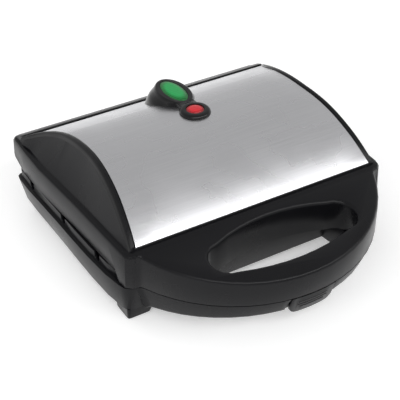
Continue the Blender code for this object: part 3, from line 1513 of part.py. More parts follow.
base_housing(black)
cooking_plate("lower_plate", PLATE_FACE, -1, coating)
plate_screws("lower_plate_screw", PLATE_FACE, -1, pin_steel)
heating_element("lower_heater", PLATE_FACE - HEATER_LIFT, tube_steel)
heat_shield("lower_heat_shield", lower_shield_height(), SHIELD_NOTCH_DEPTH, tin)
thermostat(tin)
terminal_block(ceramic)
cord_gland(rubber)
for side, end, x, y in pad_places():
    pad_name = "pad_" + ("front" if end < 0 else "rear") + ("_left" if side < 0 else "_right")
    pad(pad_name, x, y, rubber)
hinge_pin("hinge_pin_left", -1, pin_steel)
hinge_pin("hinge_pin_right", 1, pin_steel)

lid_housing(black)
steel_cover(steel)
indicator_bezel(bead_black)
lens("green_lens", GREEN_HALF_WIDTH, GREEN_HALF_LENGTH, GREEN_PLACE, green)
lens("red_lens", RED_RADIUS, RED_RADIUS, RED_PLACE, red)
lamp("green_lamp", GREEN_PLACE, neon)
lamp("red_lamp", RED_PLACE, neon)
upper_face = PLATE_FACE + PLATE_GAP
hang(cooking_plate("upper_plate", upper_face, 1, coating), lid_axis)
for upper_screw in plate_screws("upper_plate_screw", upper_face, 1, pin_steel):
    hang(upper_screw, lid_axis)
hang(heating_element("upper_heater", upper_face + HEATER_LIFT, tube_steel), lid_axis)
hang(heat_shield("upper_heat_shield", upper_shield_height(), 0.0, tin), lid_axis)
thermal_fuse(tin)
hang(latch_pin(pin_steel), lid_axis)

hang(latch_clip(black), latch_axis)
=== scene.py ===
# Corn dog maker, dressed over its CAD frame: black moulded housings, a brushed steel cover and cast plates.
import math

import bmesh
import bpy
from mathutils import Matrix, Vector


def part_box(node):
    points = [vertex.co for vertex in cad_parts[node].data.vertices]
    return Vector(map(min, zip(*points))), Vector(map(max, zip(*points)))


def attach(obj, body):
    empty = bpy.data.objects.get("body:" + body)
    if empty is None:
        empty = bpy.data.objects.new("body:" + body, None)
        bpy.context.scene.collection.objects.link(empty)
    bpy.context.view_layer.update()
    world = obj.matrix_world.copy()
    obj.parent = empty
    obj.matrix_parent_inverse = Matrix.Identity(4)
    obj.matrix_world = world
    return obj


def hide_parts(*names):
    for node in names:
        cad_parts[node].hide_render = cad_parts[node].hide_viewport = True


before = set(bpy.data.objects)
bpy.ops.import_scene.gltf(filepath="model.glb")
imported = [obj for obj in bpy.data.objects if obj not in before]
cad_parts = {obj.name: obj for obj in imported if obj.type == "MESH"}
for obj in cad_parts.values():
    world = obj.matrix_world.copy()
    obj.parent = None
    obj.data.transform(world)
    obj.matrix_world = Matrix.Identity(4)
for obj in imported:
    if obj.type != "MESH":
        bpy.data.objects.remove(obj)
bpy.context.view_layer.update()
print("frame loaded:", len(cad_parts), "nodes")

scene = bpy.context.scene
scene.view_settings.view_transform = "Standard"
mm = 0.001

# camera, at the place that the photograph's own lines give
cameraValues = {
    "place": (-0.36017, -0.56875, 0.51835),
    "backwards": (-0.41842, -0.69270, 0.58745),
    "lens": 97.475,
    "sensor": 36.0,
}
cameraData = bpy.data.cameras.new("photoCamera")
cameraData.lens = cameraValues["lens"]
cameraData.sensor_width = cameraValues["sensor"]
camera = bpy.data.objects.new("photoCamera", cameraData)
camera.location = cameraValues["place"]
camera.rotation_euler = Vector(cameraValues["backwards"]).to_track_quat("Z", "Y").to_euler()
scene.collection.objects.link(camera)
scene.camera = camera


# small tools
def deselectAll():
    if bpy.context.object and bpy.context.object.mode != "OBJECT":
        bpy.ops.object.mode_set(mode="OBJECT")
    bpy.ops.object.select_all(action="DESELECT")


def makeActive(piece):
    deselectAll()
    piece.select_set(True)
    bpy.context.view_layer.objects.active = piece


def startPiece(name):
    piece = bpy.context.object
    piece.name = name
    piece.data.name = name
    return piece


def editSelect(piece, test, mode="VERT"):
    # leaves the piece in edit mode with the vertices, edges or faces chosen that pass the test
    makeActive(piece)
    bpy.ops.object.mode_set(mode="EDIT")
    bpy.ops.mesh.select_mode(type=mode)
    bpy.ops.mesh.select_all(action="DESELECT")
    mesh = bmesh.from_edit_mesh(piece.data)
    items = {"VERT": mesh.verts, "EDGE": mesh.edges, "FACE": mesh.faces}[mode]
    for item in items:
        if test(item):
            item.select_set(True)
    mesh.select_flush(False)
    bmesh.update_edit_mesh(piece.data)


def endEdit():
    bpy.ops.object.mode_set(mode="OBJECT")


def bakePlace(piece):
    makeActive(piece)
    bpy.ops.object.transform_apply(location=True, rotation=True, scale=True)


def modify(piece, kind, **settings):
    # adds a modifier with its settings and applies it
    makeActive(piece)
    modifier = piece.modifiers.new(kind.lower(), kind)
    for key, value in settings.items():
        setattr(modifier, key, value)
    bpy.ops.object.modifier_apply(modifier=modifier.name)
    return piece


def softEdges(piece, width, segments=2, angle=32):
    modify(
        piece, "BEVEL", width=width, segments=segments, limit_method="ANGLE",
        angle_limit=math.radians(angle), use_clamp_overlap=True, harden_normals=False,
    )
    return piece


def smoothShade(piece, angle=32):
    makeActive(piece)
    bpy.ops.object.shade_smooth_by_angle(angle=math.radians(angle))
    return piece


def subtract(piece, tool):
    modify(piece, "BOOLEAN", object=tool, operation="DIFFERENCE", solver="EXACT")
    bpy.data.objects.remove(tool, do_unlink=True)


def unite(piece, tool):
    modify(piece, "BOOLEAN", object=tool, operation="UNION", solver="EXACT")
    bpy.data.objects.remove(tool, do_unlink=True)


copyValues = {"merge": 0.01 * mm, "flatAngle": 0.4}


def copyNode(node, name):
    # a copy of a CAD node's mesh, merged and with its flat faces made whole
    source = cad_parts[node]
    piece = bpy.data.objects.new(name, source.data.copy())
    piece.matrix_world = source.matrix_world.copy()
    scene.collection.objects.link(piece)
    bakePlace(piece)
    piece.data.materials.clear()
    bpy.ops.object.mode_set(mode="EDIT")
    bpy.ops.mesh.select_all(action="SELECT")
    bpy.ops.mesh.remove_doubles(threshold=copyValues["merge"])
    bpy.ops.mesh.dissolve_limited(angle_limit=math.radians(copyValues["flatAngle"]))
    endEdit()
    return piece


def finishPiece(piece, body, nodes, material):
    piece.data.materials.clear()
    piece.data.materials.append(material)
    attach(piece, body)
    if nodes:
        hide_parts(*nodes)
    return piece


def toLinear(hexColour):
    # sRGB hexadecimal to the linear numbers that a colour socket holds
    parts = [int(hexColour[index:index + 2], 16) / 255 for index in (1, 3, 5)]
    linear = [part / 12.92 if part <= 0.04045 else ((part + 0.055) / 1.055) ** 2.4 for part in parts]
    return (*linear, 1.0)


def newMaterial(name):
    material = bpy.data.materials.new(name)
    material.use_nodes = True
    tree = material.node_tree
    tree.nodes.clear()
    return material, tree


def addNode(tree, kind, settings=None, values=None, links=None):
    # one node with its settings, its sockets' values, and links given as {socket: (node, output)}
    node = tree.nodes.new(kind)
    for key, value in (settings or {}).items():
        setattr(node, key, value)
    for key, value in (values or {}).items():
        node.inputs[key].default_value = value
    for key, (source, output) in (links or {}).items():
        tree.links.new(source.outputs[output], node.inputs[key])
    return node


def perMetre(spacingMm):
    # how often a pattern repeats in a metre when its features stand that many millimetres apart
    return 1000.0 / spacingMm


# where most of a noise lies, and how far apart the waves of a wave texture of scale 1 stand
noiseMiddle = (0.3, 0.7)
waveUnit = math.pi / 10


def noise(tree, place, spacingMm, detail=2.0, roughness=0.5):
    return addNode(
        tree, "ShaderNodeTexNoise",
        values={"Scale": perMetre(spacingMm), "Detail": detail, "Roughness": roughness},
        links={"Vector": (place, "Object")},
    )


def tint(tree, first, second, source, output="Fac"):
    # a colour between two, as far along as the source says
    return addNode(
        tree, "ShaderNodeMix", {"data_type": "RGBA"}, {6: toLinear(first), 7: toLinear(second)},
        {0: (source, output)},
    )


def spread(tree, source, low, high):
    # a noise laid over a range of roughness
    return addNode(
        tree, "ShaderNodeMapRange",
        values={"From Min": noiseMiddle[0], "From Max": noiseMiddle[1], "To Min": low, "To Max": high},
        links={"Value": (source, "Fac")},
    )


def relief(tree, source, strength, deep):
    return addNode(
        tree, "ShaderNodeBump", values={"Strength": strength, "Distance": deep},
        links={"Height": (source, "Fac")},
    )


def either(tree, first, second):
    # 1 where one of two outputs is 1
    return addNode(tree, "ShaderNodeMath", {"operation": "MAXIMUM"}, links={0: first, 1: second})


def closeMaterial(tree, values, links):
    # a material's one principled shader, and its output
    shader = addNode(tree, "ShaderNodeBsdfPrincipled", values=values, links=links)
    addNode(tree, "ShaderNodeOutputMaterial", links={"Surface": (shader, "BSDF")})


# materials
# ABS, injection moulded in a finely eroded tool: semi-gloss black with a leathery micro texture and
# faint flow marks
absValues = {
    "colour": "#0d0d0f", "worn": "#131316", "roughness": (0.23, 0.34), "specular": 0.20, "ior": 1.54,
    "grainMm": 0.55, "grainRoughness": 0.6, "grainStrength": 0.10, "grainDeep": 0.05 * mm,
    "flowMm": 45, "flowDetail": 3.0,
}
absBlack, tree = newMaterial("mouldedAbs")
place = addNode(tree, "ShaderNodeTexCoord")
flow = noise(tree, place, absValues["flowMm"], absValues["flowDetail"])
grain = noise(tree, place, absValues["grainMm"], roughness=absValues["grainRoughness"])
tone = tint(tree, absValues["colour"], absValues["worn"], flow)
gloss = spread(tree, flow, *absValues["roughness"])
bump = relief(tree, grain, absValues["grainStrength"], absValues["grainDeep"])
closeMaterial(
    tree, {"IOR": absValues["ior"], "Specular IOR Level": absValues["specular"]},
    {"Base Color": (tone, 2), "Roughness": (gloss, "Result"), "Normal": (bump, "Normal")},
)

# ABS from a polished tool: the beads beside the steel and the lamp turret, deep black with sharp reflections
glossValues = {
    "colour": "#0c0c0e", "roughness": (0.13, 0.20), "specular": 0.35, "ior": 1.54,
    "waveMm": 14, "waveDetail": 1.0, "waveStrength": 0.10, "waveDeep": 0.15 * mm,
}
glossBlack, tree = newMaterial("polishedAbs")
place = addNode(tree, "ShaderNodeTexCoord")
wave = noise(tree, place, glossValues["waveMm"], glossValues["waveDetail"])
gloss = spread(tree, wave, *glossValues["roughness"])
bump = relief(tree, wave, glossValues["waveStrength"], glossValues["waveDeep"])
closeMaterial(
    tree,
    {
        "Base Color": toLinear(glossValues["colour"]), "IOR": glossValues["ior"],
        "Specular IOR Level": glossValues["specular"],
    },
    {"Roughness": (gloss, "Result"), "Normal": (bump, "Normal")},
)

# stainless sheet, belt brushed from side to side: fine scratches along X stretch every highlight
# across them
steelValues = {
    "light": "#e8e8ea", "dark": "#cfcfd2", "roughness": (0.24, 0.32), "anisotropic": 0.45,
    "scratchMm": 0.9, "scratchLengthMm": 60, "scratchDetail": 5.0, "scratchRoughness": 0.7,
    "scratchStrength": 0.10, "scratchDeep": 0.02 * mm, "cloudMm": 30,
}
brushedSteel, tree = newMaterial("brushedStainless")
place = addNode(tree, "ShaderNodeTexCoord")
stretch = addNode(
    tree, "ShaderNodeMapping",
    values={"Scale": [perMetre(steelValues[key]) for key in ("scratchLengthMm", "scratchMm", "scratchMm")]},
    links={"Vector": (place, "Object")},
)
scratch = addNode(
    tree, "ShaderNodeTexNoise",
    values={
        "Scale": 1.0, "Detail": steelValues["scratchDetail"], "Roughness": steelValues["scratchRoughness"],
    },
    links={"Vector": (stretch, "Vector")},
)
cloud = noise(tree, place, steelValues["cloudMm"])
tone = tint(tree, steelValues["dark"], steelValues["light"], scratch)
gloss = spread(tree, cloud, *steelValues["roughness"])
bump = relief(tree, scratch, steelValues["scratchStrength"], steelValues["scratchDeep"])
grainWay = addNode(tree, "ShaderNodeTangent", {"direction_type": "RADIAL", "axis": "X"})
closeMaterial(
    tree, {"Metallic": 1.0, "Anisotropic": steelValues["anisotropic"]},
    {
        "Base Color": (tone, 2), "Roughness": (gloss, "Result"),
        "Normal": (bump, "Normal"), "Tangent": (grainWay, "Tangent"),
    },
)

# the lenses' tints, sizes and places, which their material and their shapes share; the paler heart tints are
# painted light and the deeper rim tints painted shade
lensValues = {
    "green": {
        "paintedLitHeart": "#12a552", "rim": "#00591f",
        "place": 66.7 * mm, "wide": 8.0 * mm, "long": 16.8 * mm, "steps": 64,
    },
    "red": {
        "paintedLitHeart": "#d81f2c", "rim": "#7d0a12",
        "place": 34.7 * mm, "wide": 6.8 * mm, "long": 6.8 * mm, "steps": 48,
    },
}
# where the painted shade at the rim ends and the painted light at the heart is full, and how strong that
# painted light is
lensFinish = {
    "paintedShadeRimShare": 0.95, "paintedLitHeartShare": 0.55, "paintedLitHeartTone": 0.8, "ribMm": 2.356, "ribTone": 0.2,
    "roughness": 0.09, "ior": 1.58, "specular": 0.45,
}


def lensMaterial(name, shape):
    # polycarbonate tinted in the mass, moulded with fine ribs beneath, with painted light making it paler at
    # its heart and painted shade darker at its rim
    material, tree = newMaterial(name)
    place = addNode(tree, "ShaderNodeTexCoord")
    spot = addNode(
        tree, "ShaderNodeMapping", {"vector_type": "TEXTURE"},
        {"Location": (0.0, shape["place"], 0.0), "Scale": (shape["wide"], shape["long"], 1.0)},
        {"Vector": (place, "Object")},
    )
    flat = addNode(
        tree, "ShaderNodeVectorMath", {"operation": "MULTIPLY"}, {1: (1.0, 1.0, 0.0)}, {0: (spot, "Vector")},
    )
    reach = addNode(tree, "ShaderNodeVectorMath", {"operation": "LENGTH"}, links={0: (flat, "Vector")})
    # painted light: strongest over the lens's middle, fading to painted shade toward its rim
    paintedLitHeart = addNode(
        tree, "ShaderNodeMapRange", {"interpolation_type": "SMOOTHSTEP"},
        {
            "From Min": lensFinish["paintedShadeRimShare"], "From Max": lensFinish["paintedLitHeartShare"],
            "To Min": 0.0, "To Max": lensFinish["paintedLitHeartTone"],
        },
        {"Value": (reach, "Value")},
    )
    ribs = addNode(
        tree, "ShaderNodeTexWave", {"wave_type": "BANDS", "bands_direction": "Y", "wave_profile": "SIN"},
        {"Scale": perMetre(lensFinish["ribMm"]) * waveUnit, "Distortion": 0.0}, {"Vector": (place, "Object")},
    )
    # the ribs' pattern laid over the painted light and painted shade, which picks the tone between the rim
    # and heart colours
    depth = addNode(
        tree, "ShaderNodeMath", {"operation": "MULTIPLY_ADD"}, {1: lensFinish["ribTone"]},
        {0: (ribs, "Fac"), 2: (paintedLitHeart, "Result")},
    )
    tone = tint(tree, shape["rim"], shape["paintedLitHeart"], depth, 0)
    closeMaterial(
        tree,
        {
            "Roughness": lensFinish["roughness"], "IOR": lensFinish["ior"],
            "Specular IOR Level": lensFinish["specular"],
        },
        {"Base Color": (tone, 2)},
    )
    return material


greenLens = lensMaterial("greenPolycarbonate", lensValues["green"])
redLens = lensMaterial("redPolycarbonate", lensValues["red"])

speckleValues = {
    "grainDetail": 3.0, "grainRoughness": 0.65, "grainStrength": 0.3,
    "patchRatio": 30, "roughnessReach": 0.06,
}


def speckledMaterial(name, light, dark, roughness, grainMm, grainDeepMm, metallic=0.0, ior=1.5):
    # a surface with an even grain: coated castings, rubber, sheet metal and glazed or fired clay
    material, tree = newMaterial(name)
    place = addNode(tree, "ShaderNodeTexCoord")
    grain = noise(tree, place, grainMm, speckleValues["grainDetail"], speckleValues["grainRoughness"])
    patch = noise(tree, place, grainMm * speckleValues["patchRatio"])
    tone = tint(tree, dark, light, patch)
    reach = speckleValues["roughnessReach"]
    gloss = spread(tree, patch, roughness - reach, roughness + reach)
    bump = relief(tree, grain, speckleValues["grainStrength"], grainDeepMm * mm)
    values = {"Metallic": metallic}
    if metallic == 0.0:
        values["IOR"] = ior
    closeMaterial(
        tree, values, {"Base Color": (tone, 2), "Roughness": (gloss, "Result"), "Normal": (bump, "Normal")},
    )
    return material


# cast aluminium under a sprayed non-stick coating: satin near-black with an orange-peel skin of about 0.8 mm
plateCoating = speckledMaterial("nonStickCasting", "#35333a", "#26252a", 0.42, 0.8, 0.06)
# steel sheath of a tubular heater, browned and dulled by its own heat
heaterSheath = speckledMaterial("heatBrownedSteel", "#8c8278", "#5f564f", 0.45, 0.7, 0.03, 1.0)
# rolled aluminium sheet, bright but soft in its reflections
shieldTin = speckledMaterial("rolledAluminium", "#d6d8db", "#b9bbbf", 0.30, 1.5, 0.02, 1.0)
# zinc plated steel of pins and screws
zincSteel = speckledMaterial("zincPlatedSteel", "#cfcfd2", "#a9a9ae", 0.28, 0.6, 0.02, 1.0)
# natural rubber, moulded and matt
padRubber = speckledMaterial("mattRubber", "#2b2b2b", "#202020", 0.78, 0.5, 0.06, 0.0, 1.52)
# unglazed steatite of the terminal block: off-white and chalky
steatite = speckledMaterial("unglazedSteatite", "#e2ddd0", "#cfc9ba", 0.62, 0.4, 0.03, 0.0, 1.6)
# neon lamp's glass, faintly warm
glassValues = {
    "dark": "#f3d9c8", "light": "#fbeee4", "cloudMm": 3, "roughness": 0.06, "ior": 1.5, "transmission": 0.6,
}
lampGlass, tree = newMaterial("neonLampGlass")
place = addNode(tree, "ShaderNodeTexCoord")
cloud = noise(tree, place, glassValues["cloudMm"])
tone = tint(tree, glassValues["dark"], glassValues["light"], cloud)
closeMaterial(
    tree,
    {
        "Roughness": glassValues["roughness"], "IOR": glassValues["ior"],
        "Transmission Weight": glassValues["transmission"],
    },
    {"Base Color": (tone, 2)},
)
print("materials made")


# studio: a bright wall all round, brightest at the horizon, as reflections see it
studioValues = {
    "wallCurve": ((0.0, 1.0), (0.07, 0.98), (0.14, 0.78), (0.5, 0.66), (1.0, 0.6)), "diffuseLevel": 0.62,
    "paper": "#e9e9e9", "paperRoughness": 0.9, "paperGlow": 0.36, "floorSize": 6.0, "floorDrop": 0.05 * mm,
    "fibreMm": 2, "fibreStrength": 0.05, "fibreDeep": 0.05 * mm,
}
world = bpy.data.worlds.new("studio")
scene.world = world
world.use_nodes = True
tree = world.node_tree
tree.nodes.clear()
direction = addNode(tree, "ShaderNodeTexCoord")
axes = addNode(tree, "ShaderNodeSeparateXYZ", links={"Vector": (direction, "Generated")})
upward = addNode(tree, "ShaderNodeFloatCurve", links={"Value": (axes, "Z")})
curve = upward.mapping.curves[0]
wallCurve = studioValues["wallCurve"]
for spot, wallPoint in zip((curve.points[0], curve.points[1]), (wallCurve[0], wallCurve[-1])):
    spot.location = wallPoint
for height, brightness in wallCurve[1:-1]:
    curve.points.new(height, brightness)
upward.mapping.update()
rays = addNode(tree, "ShaderNodeLightPath")
mirrored = either(tree, (rays, "Is Glossy Ray"), (rays, "Is Transmission Ray"))
level = addNode(
    tree, "ShaderNodeMix", {"data_type": "FLOAT"}, {2: studioValues["diffuseLevel"]},
    {0: (mirrored, 0), 3: (upward, "Value")},
)
shown = addNode(
    tree, "ShaderNodeMix", {"data_type": "FLOAT"}, {3: 1.0}, {0: (rays, "Is Camera Ray"), 2: (level, 0)},
)
sky = addNode(tree, "ShaderNodeBackground", links={"Strength": (shown, 0)})
addNode(tree, "ShaderNodeOutputWorld", links={"Surface": (sky, "Background")})

# the floor is white paper that takes the shadow, lifted by a glow that only eyes and mirrors see
bpy.ops.mesh.primitive_plane_add(
    size=studioValues["floorSize"], location=(0.0, 0.0, -studioValues["floorDrop"]),
)
floor = startPiece("studioFloor")
floorPaint, tree = newMaterial("studioPaper")
place = addNode(tree, "ShaderNodeTexCoord")
fibre = noise(tree, place, studioValues["fibreMm"])
bump = relief(tree, fibre, studioValues["fibreStrength"], studioValues["fibreDeep"])
paper = addNode(
    tree, "ShaderNodeBsdfPrincipled",
    values={"Base Color": toLinear(studioValues["paper"]), "Roughness": studioValues["paperRoughness"]},
    links={"Normal": (bump, "Normal")},
)
rays = addNode(tree, "ShaderNodeLightPath")
seen = either(tree, (rays, "Is Camera Ray"), (rays, "Is Glossy Ray"))
seenToo = either(tree, (seen, 0), (rays, "Is Transmission Ray"))
lift = addNode(
    tree, "ShaderNodeMath", {"operation": "MULTIPLY"}, {1: studioValues["paperGlow"]}, {0: (seenToo, 0)},
)
glow = addNode(tree, "ShaderNodeEmission", links={"Strength": (lift, 0)})
both = addNode(tree, "ShaderNodeAddShader", links={0: (paper, "BSDF"), 1: (glow, "Emission")})
addNode(tree, "ShaderNodeOutputMaterial", links={"Surface": (both, "Shader")})
floor.data.materials.append(floorPaint)

# softboxes: only the key shows in reflections
softboxes = {
    "keySoftbox": {
        "place": (0.45, -0.86, 0.96), "target": (0.45, 0.0, 0.04), "size": (3.2, 0.42),
        "power": 12.0, "mirrored": True,
    },
    "fillSoftbox": {
        "place": (-0.95, -0.35, 0.55), "target": (0.0, 0.0, 0.04), "size": (0.6, 0.6),
        "power": 3.0, "mirrored": False,
    },
    "rearSoftbox": {
        "place": (-0.25, 1.0, 0.8), "target": (0.0, 0.0, 0.05), "size": (1.2, 0.5),
        "power": 3.0, "mirrored": False,
    },
}
for name, values in softboxes.items():
    lamp = bpy.data.lights.new(name, "AREA")
    lamp.shape = "RECTANGLE"
    lamp.size, lamp.size_y = values["size"]
    lamp.energy = values["power"]
    holder = bpy.data.objects.new(name, lamp)
    holder.location = values["place"]
    backwards = Vector(values["place"]) - Vector(values["target"])
    holder.rotation_euler = backwards.to_track_quat("Z", "Y").to_euler()
    holder.visible_glossy = values["mirrored"]
    scene.collection.objects.link(holder)
print("studio set")


# housings: the CAD's own moulded shapes with the tool's small radii along every edge
housingValues = {"lidEdge": 0.55 * mm, "baseEdge": 0.5 * mm, "segments": 2, "shadeAngle": 40}
for node, name, body in (("lid_housing", "lidShell", "lid"), ("base_housing", "baseShell", "base")):
    shell = copyNode(node, name)
    softEdges(shell, housingValues[body + "Edge"], housingValues["segments"])
    smoothShade(shell, housingValues["shadeAngle"])
    finishPiece(shell, body, [node], absBlack)
print("housings made")

# steel cover: one sheet, arched in a press, with its rim rolled over and the faint crease behind the crest
coverValues = {
    "front": -53.6 * mm, "rear": 108.7 * mm, "crest": 90.8 * mm, "crestPlace": 24.0 * mm,
    "frontHeight": 60.3 * mm, "rearHeight": 63.9 * mm, "halfWidth": 111.4 * mm, "power": 2.25,
    "thickness": 0.8 * mm, "rows": 96, "cuts": 9, "creasePlace": 65.6 * mm, "creaseDepth": 0.7 * mm,
    "creaseReach": 0.05 * mm, "rim": 0.3 * mm, "rimSegments": 3, "rimAngle": 50, "shadeAngle": 40,
    "edgeShares": (
        (0.0, 0.897), (0.06, 0.880), (0.22, 0.845), (0.45, 0.815), (0.59, 0.816),
        (0.70, 0.826), (0.78, 0.844), (0.853, 0.874), (0.927, 0.925), (1.0, 1.0),
    ),
}


def blendTable(table, place):
    # a smooth curve through (place, value) pairs, the same as the frame's own
    last = len(table) - 2
    index = 0
    while index < last and place > table[index + 1][0]:
        index += 1
    before = table[max(index - 1, 0)]
    start, end = table[index], table[index + 1]
    after = table[min(index + 2, last + 1)]
    span = end[0] - start[0]
    leave = (end[1] - before[1]) / (end[0] - before[0]) * span
    reach = (after[1] - start[1]) / (after[0] - start[0]) * span
    t = (place - start[0]) / span
    return (
        start[1] * (2 * t**3 - 3 * t**2 + 1) + leave * (t**3 - 2 * t**2 + t)
        + end[1] * (3 * t**2 - 2 * t**3) + reach * (t**3 - t**2)
    )


def archHeight(place):
    # the arch falls away from its crest by the same power to the front and to the rear
    values = coverValues
    if place < values["crestPlace"]:
        share = (values["crestPlace"] - place) / (values["crestPlace"] - values["front"])
        return values["crest"] - (values["crest"] - values["frontHeight"]) * share ** values["power"]
    share = (place - values["crestPlace"]) / (values["rear"] - values["crestPlace"])
    return values["crest"] - (values["crest"] - values["rearHeight"]) * share ** values["power"]


def coverHalfWidth(place):
    share = (place - coverValues["front"]) / (coverValues["rear"] - coverValues["front"])
    return coverValues["halfWidth"] * blendTable(coverValues["edgeShares"], min(max(share, 0.0), 1.0))


def sheetHeight(place):
    # behind the crease the sheet turns down a little more sharply, and meets the arch again at the rear
    share = (place - coverValues["creasePlace"]) / (coverValues["rear"] - coverValues["creasePlace"])
    share = min(max(share, 0.0), 1.0)
    return archHeight(place) - coverValues["creaseDepth"] * 4 * share * (1 - share)


def evenSteps(start, end, count):
    return [start + (end - start) * step / count for step in range(count + 1)]


def turnOutward():
    # ends the edit of a piece with all its faces turned outward
    bpy.ops.mesh.select_all(action="SELECT")
    bpy.ops.mesh.normals_make_consistent(inside=False)
    endEdit()


def startRibbon(name, halfWidth, place, height):
    # one edge across the object, chosen in edit mode and ready to be drawn along the arch
    bpy.ops.mesh.primitive_plane_add(size=1.0)
    piece = startPiece(name)
    editSelect(piece, lambda vert: vert.co.y > 0)
    bpy.ops.mesh.delete(type="VERT")
    endEdit()
    for vert, side in zip(sorted(piece.data.vertices, key=lambda vert: vert.co.x), (-1, 1)):
        vert.co = (side * halfWidth, place, height)
    editSelect(piece, lambda edge: True, "EDGE")
    return piece


def drawRibbon(places, widthAt=None):
    for here, there in zip(places, places[1:]):
        move = (0.0, there - here, sheetHeight(there) - sheetHeight(here))
        bpy.ops.mesh.extrude_region_move(TRANSFORM_OT_translate={"value": move})
        if widthAt:
            widen = widthAt(there) / widthAt(here)
            bpy.ops.transform.resize(value=(widen, 1.0, 1.0), center_override=(0.0, 0.0, 0.0))


def onCrease(edge):
    away = [abs(vert.co.y - coverValues["creasePlace"]) for vert in edge.verts]
    return max(away) < coverValues["creaseReach"]


coverFront = coverValues["front"]
steelSheet = startRibbon("steelSheet", coverHalfWidth(coverFront), coverFront, archHeight(coverFront))
bpy.ops.mesh.subdivide(number_cuts=coverValues["cuts"])
coverRows = evenSteps(coverFront, coverValues["rear"], coverValues["rows"])
creaseRow = min(range(len(coverRows)), key=lambda row: abs(coverRows[row] - coverValues["creasePlace"]))
coverRows[creaseRow] = coverValues["creasePlace"]
drawRibbon(coverRows, coverHalfWidth)
turnOutward()
if sum(face.normal.z for face in steelSheet.data.polygons) < 0:
    editSelect(steelSheet, lambda face: True, "FACE")
    bpy.ops.mesh.flip_normals()
    endEdit()
modify(steelSheet, "SOLIDIFY", thickness=coverValues["thickness"], offset=-1.0, use_even_offset=True)
softEdges(steelSheet, coverValues["rim"], coverValues["rimSegments"], coverValues["rimAngle"])
editSelect(steelSheet, onCrease, "EDGE")
bpy.ops.mesh.mark_sharp()
endEdit()
makeActive(steelSheet)
bpy.ops.object.shade_smooth_by_angle(angle=math.radians(coverValues["shadeAngle"]), keep_sharp_edges=True)
finishPiece(steelSheet, "lid", ["steel_cover"], brushedSteel)
print("steel cover made")

# beads: a polished hump beside each edge of the steel, widest in the middle and thin at the rear
beadValues = {
    "width": 5.4 * mm, "start": 0.5 * mm, "rise": 1.15 * mm, "drop": 2.5 * mm, "rows": 72, "across": 10,
    "widthShares": ((0.0, 0.9), (0.12, 1.0), (0.80, 1.0), (0.93, 0.66), (1.0, 0.36)),
    "frontGap": 0.4 * mm, "sink": 0.5 * mm, "lowest": 57.4 * mm, "skin": 0.9 * mm, "shadeAngle": 50,
    "humpReach": 1.15, "humpPower": 0.7, "fallFrom": 0.55, "thinRise": 0.55,
}


def beadPoint(side, rowShare, acrossShare):
    front = coverValues["front"] + beadValues["frontGap"]
    place = front + (coverValues["rear"] - front) * rowShare
    width = beadValues["width"] * blendTable(beadValues["widthShares"], rowShare)
    hump = 0.0
    if acrossShare > 0:
        hump = math.sin(math.pi * min(acrossShare * beadValues["humpReach"], 1.0)) ** beadValues["humpPower"]
    fall = max(0.0, acrossShare - beadValues["fallFrom"]) / (1 - beadValues["fallFrom"])
    full = beadValues["thinRise"] + (1 - beadValues["thinRise"]) * width / beadValues["width"]
    x = coverHalfWidth(place) + beadValues["start"] + width * acrossShare
    z = archHeight(place) - beadValues["sink"]
    z += beadValues["rise"] * hump * full - beadValues["drop"] * fall**2
    return side * x, place, max(z, beadValues["lowest"])


for side, name in ((-1, "leftBead"), (1, "rightBead")):
    bpy.ops.mesh.primitive_grid_add(
        x_subdivisions=beadValues["across"], y_subdivisions=beadValues["rows"], size=1.0,
    )
    bead = startPiece(name)
    for vert in bead.data.vertices:
        vert.co = beadPoint(side, vert.co.y + 0.5, vert.co.x + 0.5)
    modify(bead, "SOLIDIFY", thickness=beadValues["skin"], offset=-side)
    editSelect(bead, lambda vert: True)
    turnOutward()
    smoothShade(bead, beadValues["shadeAngle"])
    finishPiece(bead, "lid", [], glossBlack)
print("beads made")

# lamp turret: an oval foot drawn up to a ring round the green lens, and a round collar for the red one
turretValues = {
    "foot": 71.0 * mm, "top": 93.2 * mm, "halfWidth": 21.5 * mm, "halfLength": 23.5 * mm,
    "shift": 5.0 * mm, "steps": 72, "wallLevels": 12, "wallTopShare": 0.97, "lipShares": (0.99, 1.0),
    "wideShares": ((0.0, 1.03), (0.61, 0.83), (0.84, 0.655), (0.97, 0.58), (1.0, 0.545)),
    "longShares": ((0.0, 1.03), (0.61, 0.92), (0.84, 0.875), (0.97, 0.872), (1.0, 0.852)),
    "backShares": ((0.0, 1.05), (0.61, 0.68), (0.84, 0.29), (0.97, 0.02), (1.0, 0.0)),
    "greenWell": (8.3 * mm, 17.1 * mm), "redWell": (7.1 * mm, 7.1 * mm), "wellDeep": 1.1 * mm,
    "wellCut": 4.0 * mm, "collar": 12.1 * mm, "collarSteps": 64, "collarLip": 2.4 * mm,
    "collarLevels": ((1.2 * mm, 0.972), (0.8 * mm, 0.95), (0.5 * mm, 0.925), (0.2 * mm, 0.93)),
    "neck": 7.4 * mm, "neckDrop": 0.6 * mm, "neckEdge": 1.2 * mm, "neckSegments": 3, "neckAngle": 50,
    "edge": 0.35 * mm, "edgeSegments": 3, "edgeAngle": 40, "shadeAngle": 35,
}
# the form that cuts the turret's underside to the sheet, which the turret nearly touches
underValues = {
    "halfWidth": 40.0 * mm, "front": 10.0 * mm, "rear": 108.0 * mm, "rows": 49, "gap": 0.05 * mm,
    "deep": 45.0 * mm,
}


def ovalStart(name, halfWidth, halfLength, place, height, steps):
    bpy.ops.mesh.primitive_circle_add(
        vertices=steps, radius=1.0, fill_type="NGON", location=(0.0, place, height),
    )
    piece = startPiece(name)
    piece.scale = (halfWidth, halfLength, 1.0)
    bakePlace(piece)
    editSelect(piece, lambda face: True, "FACE")
    return piece


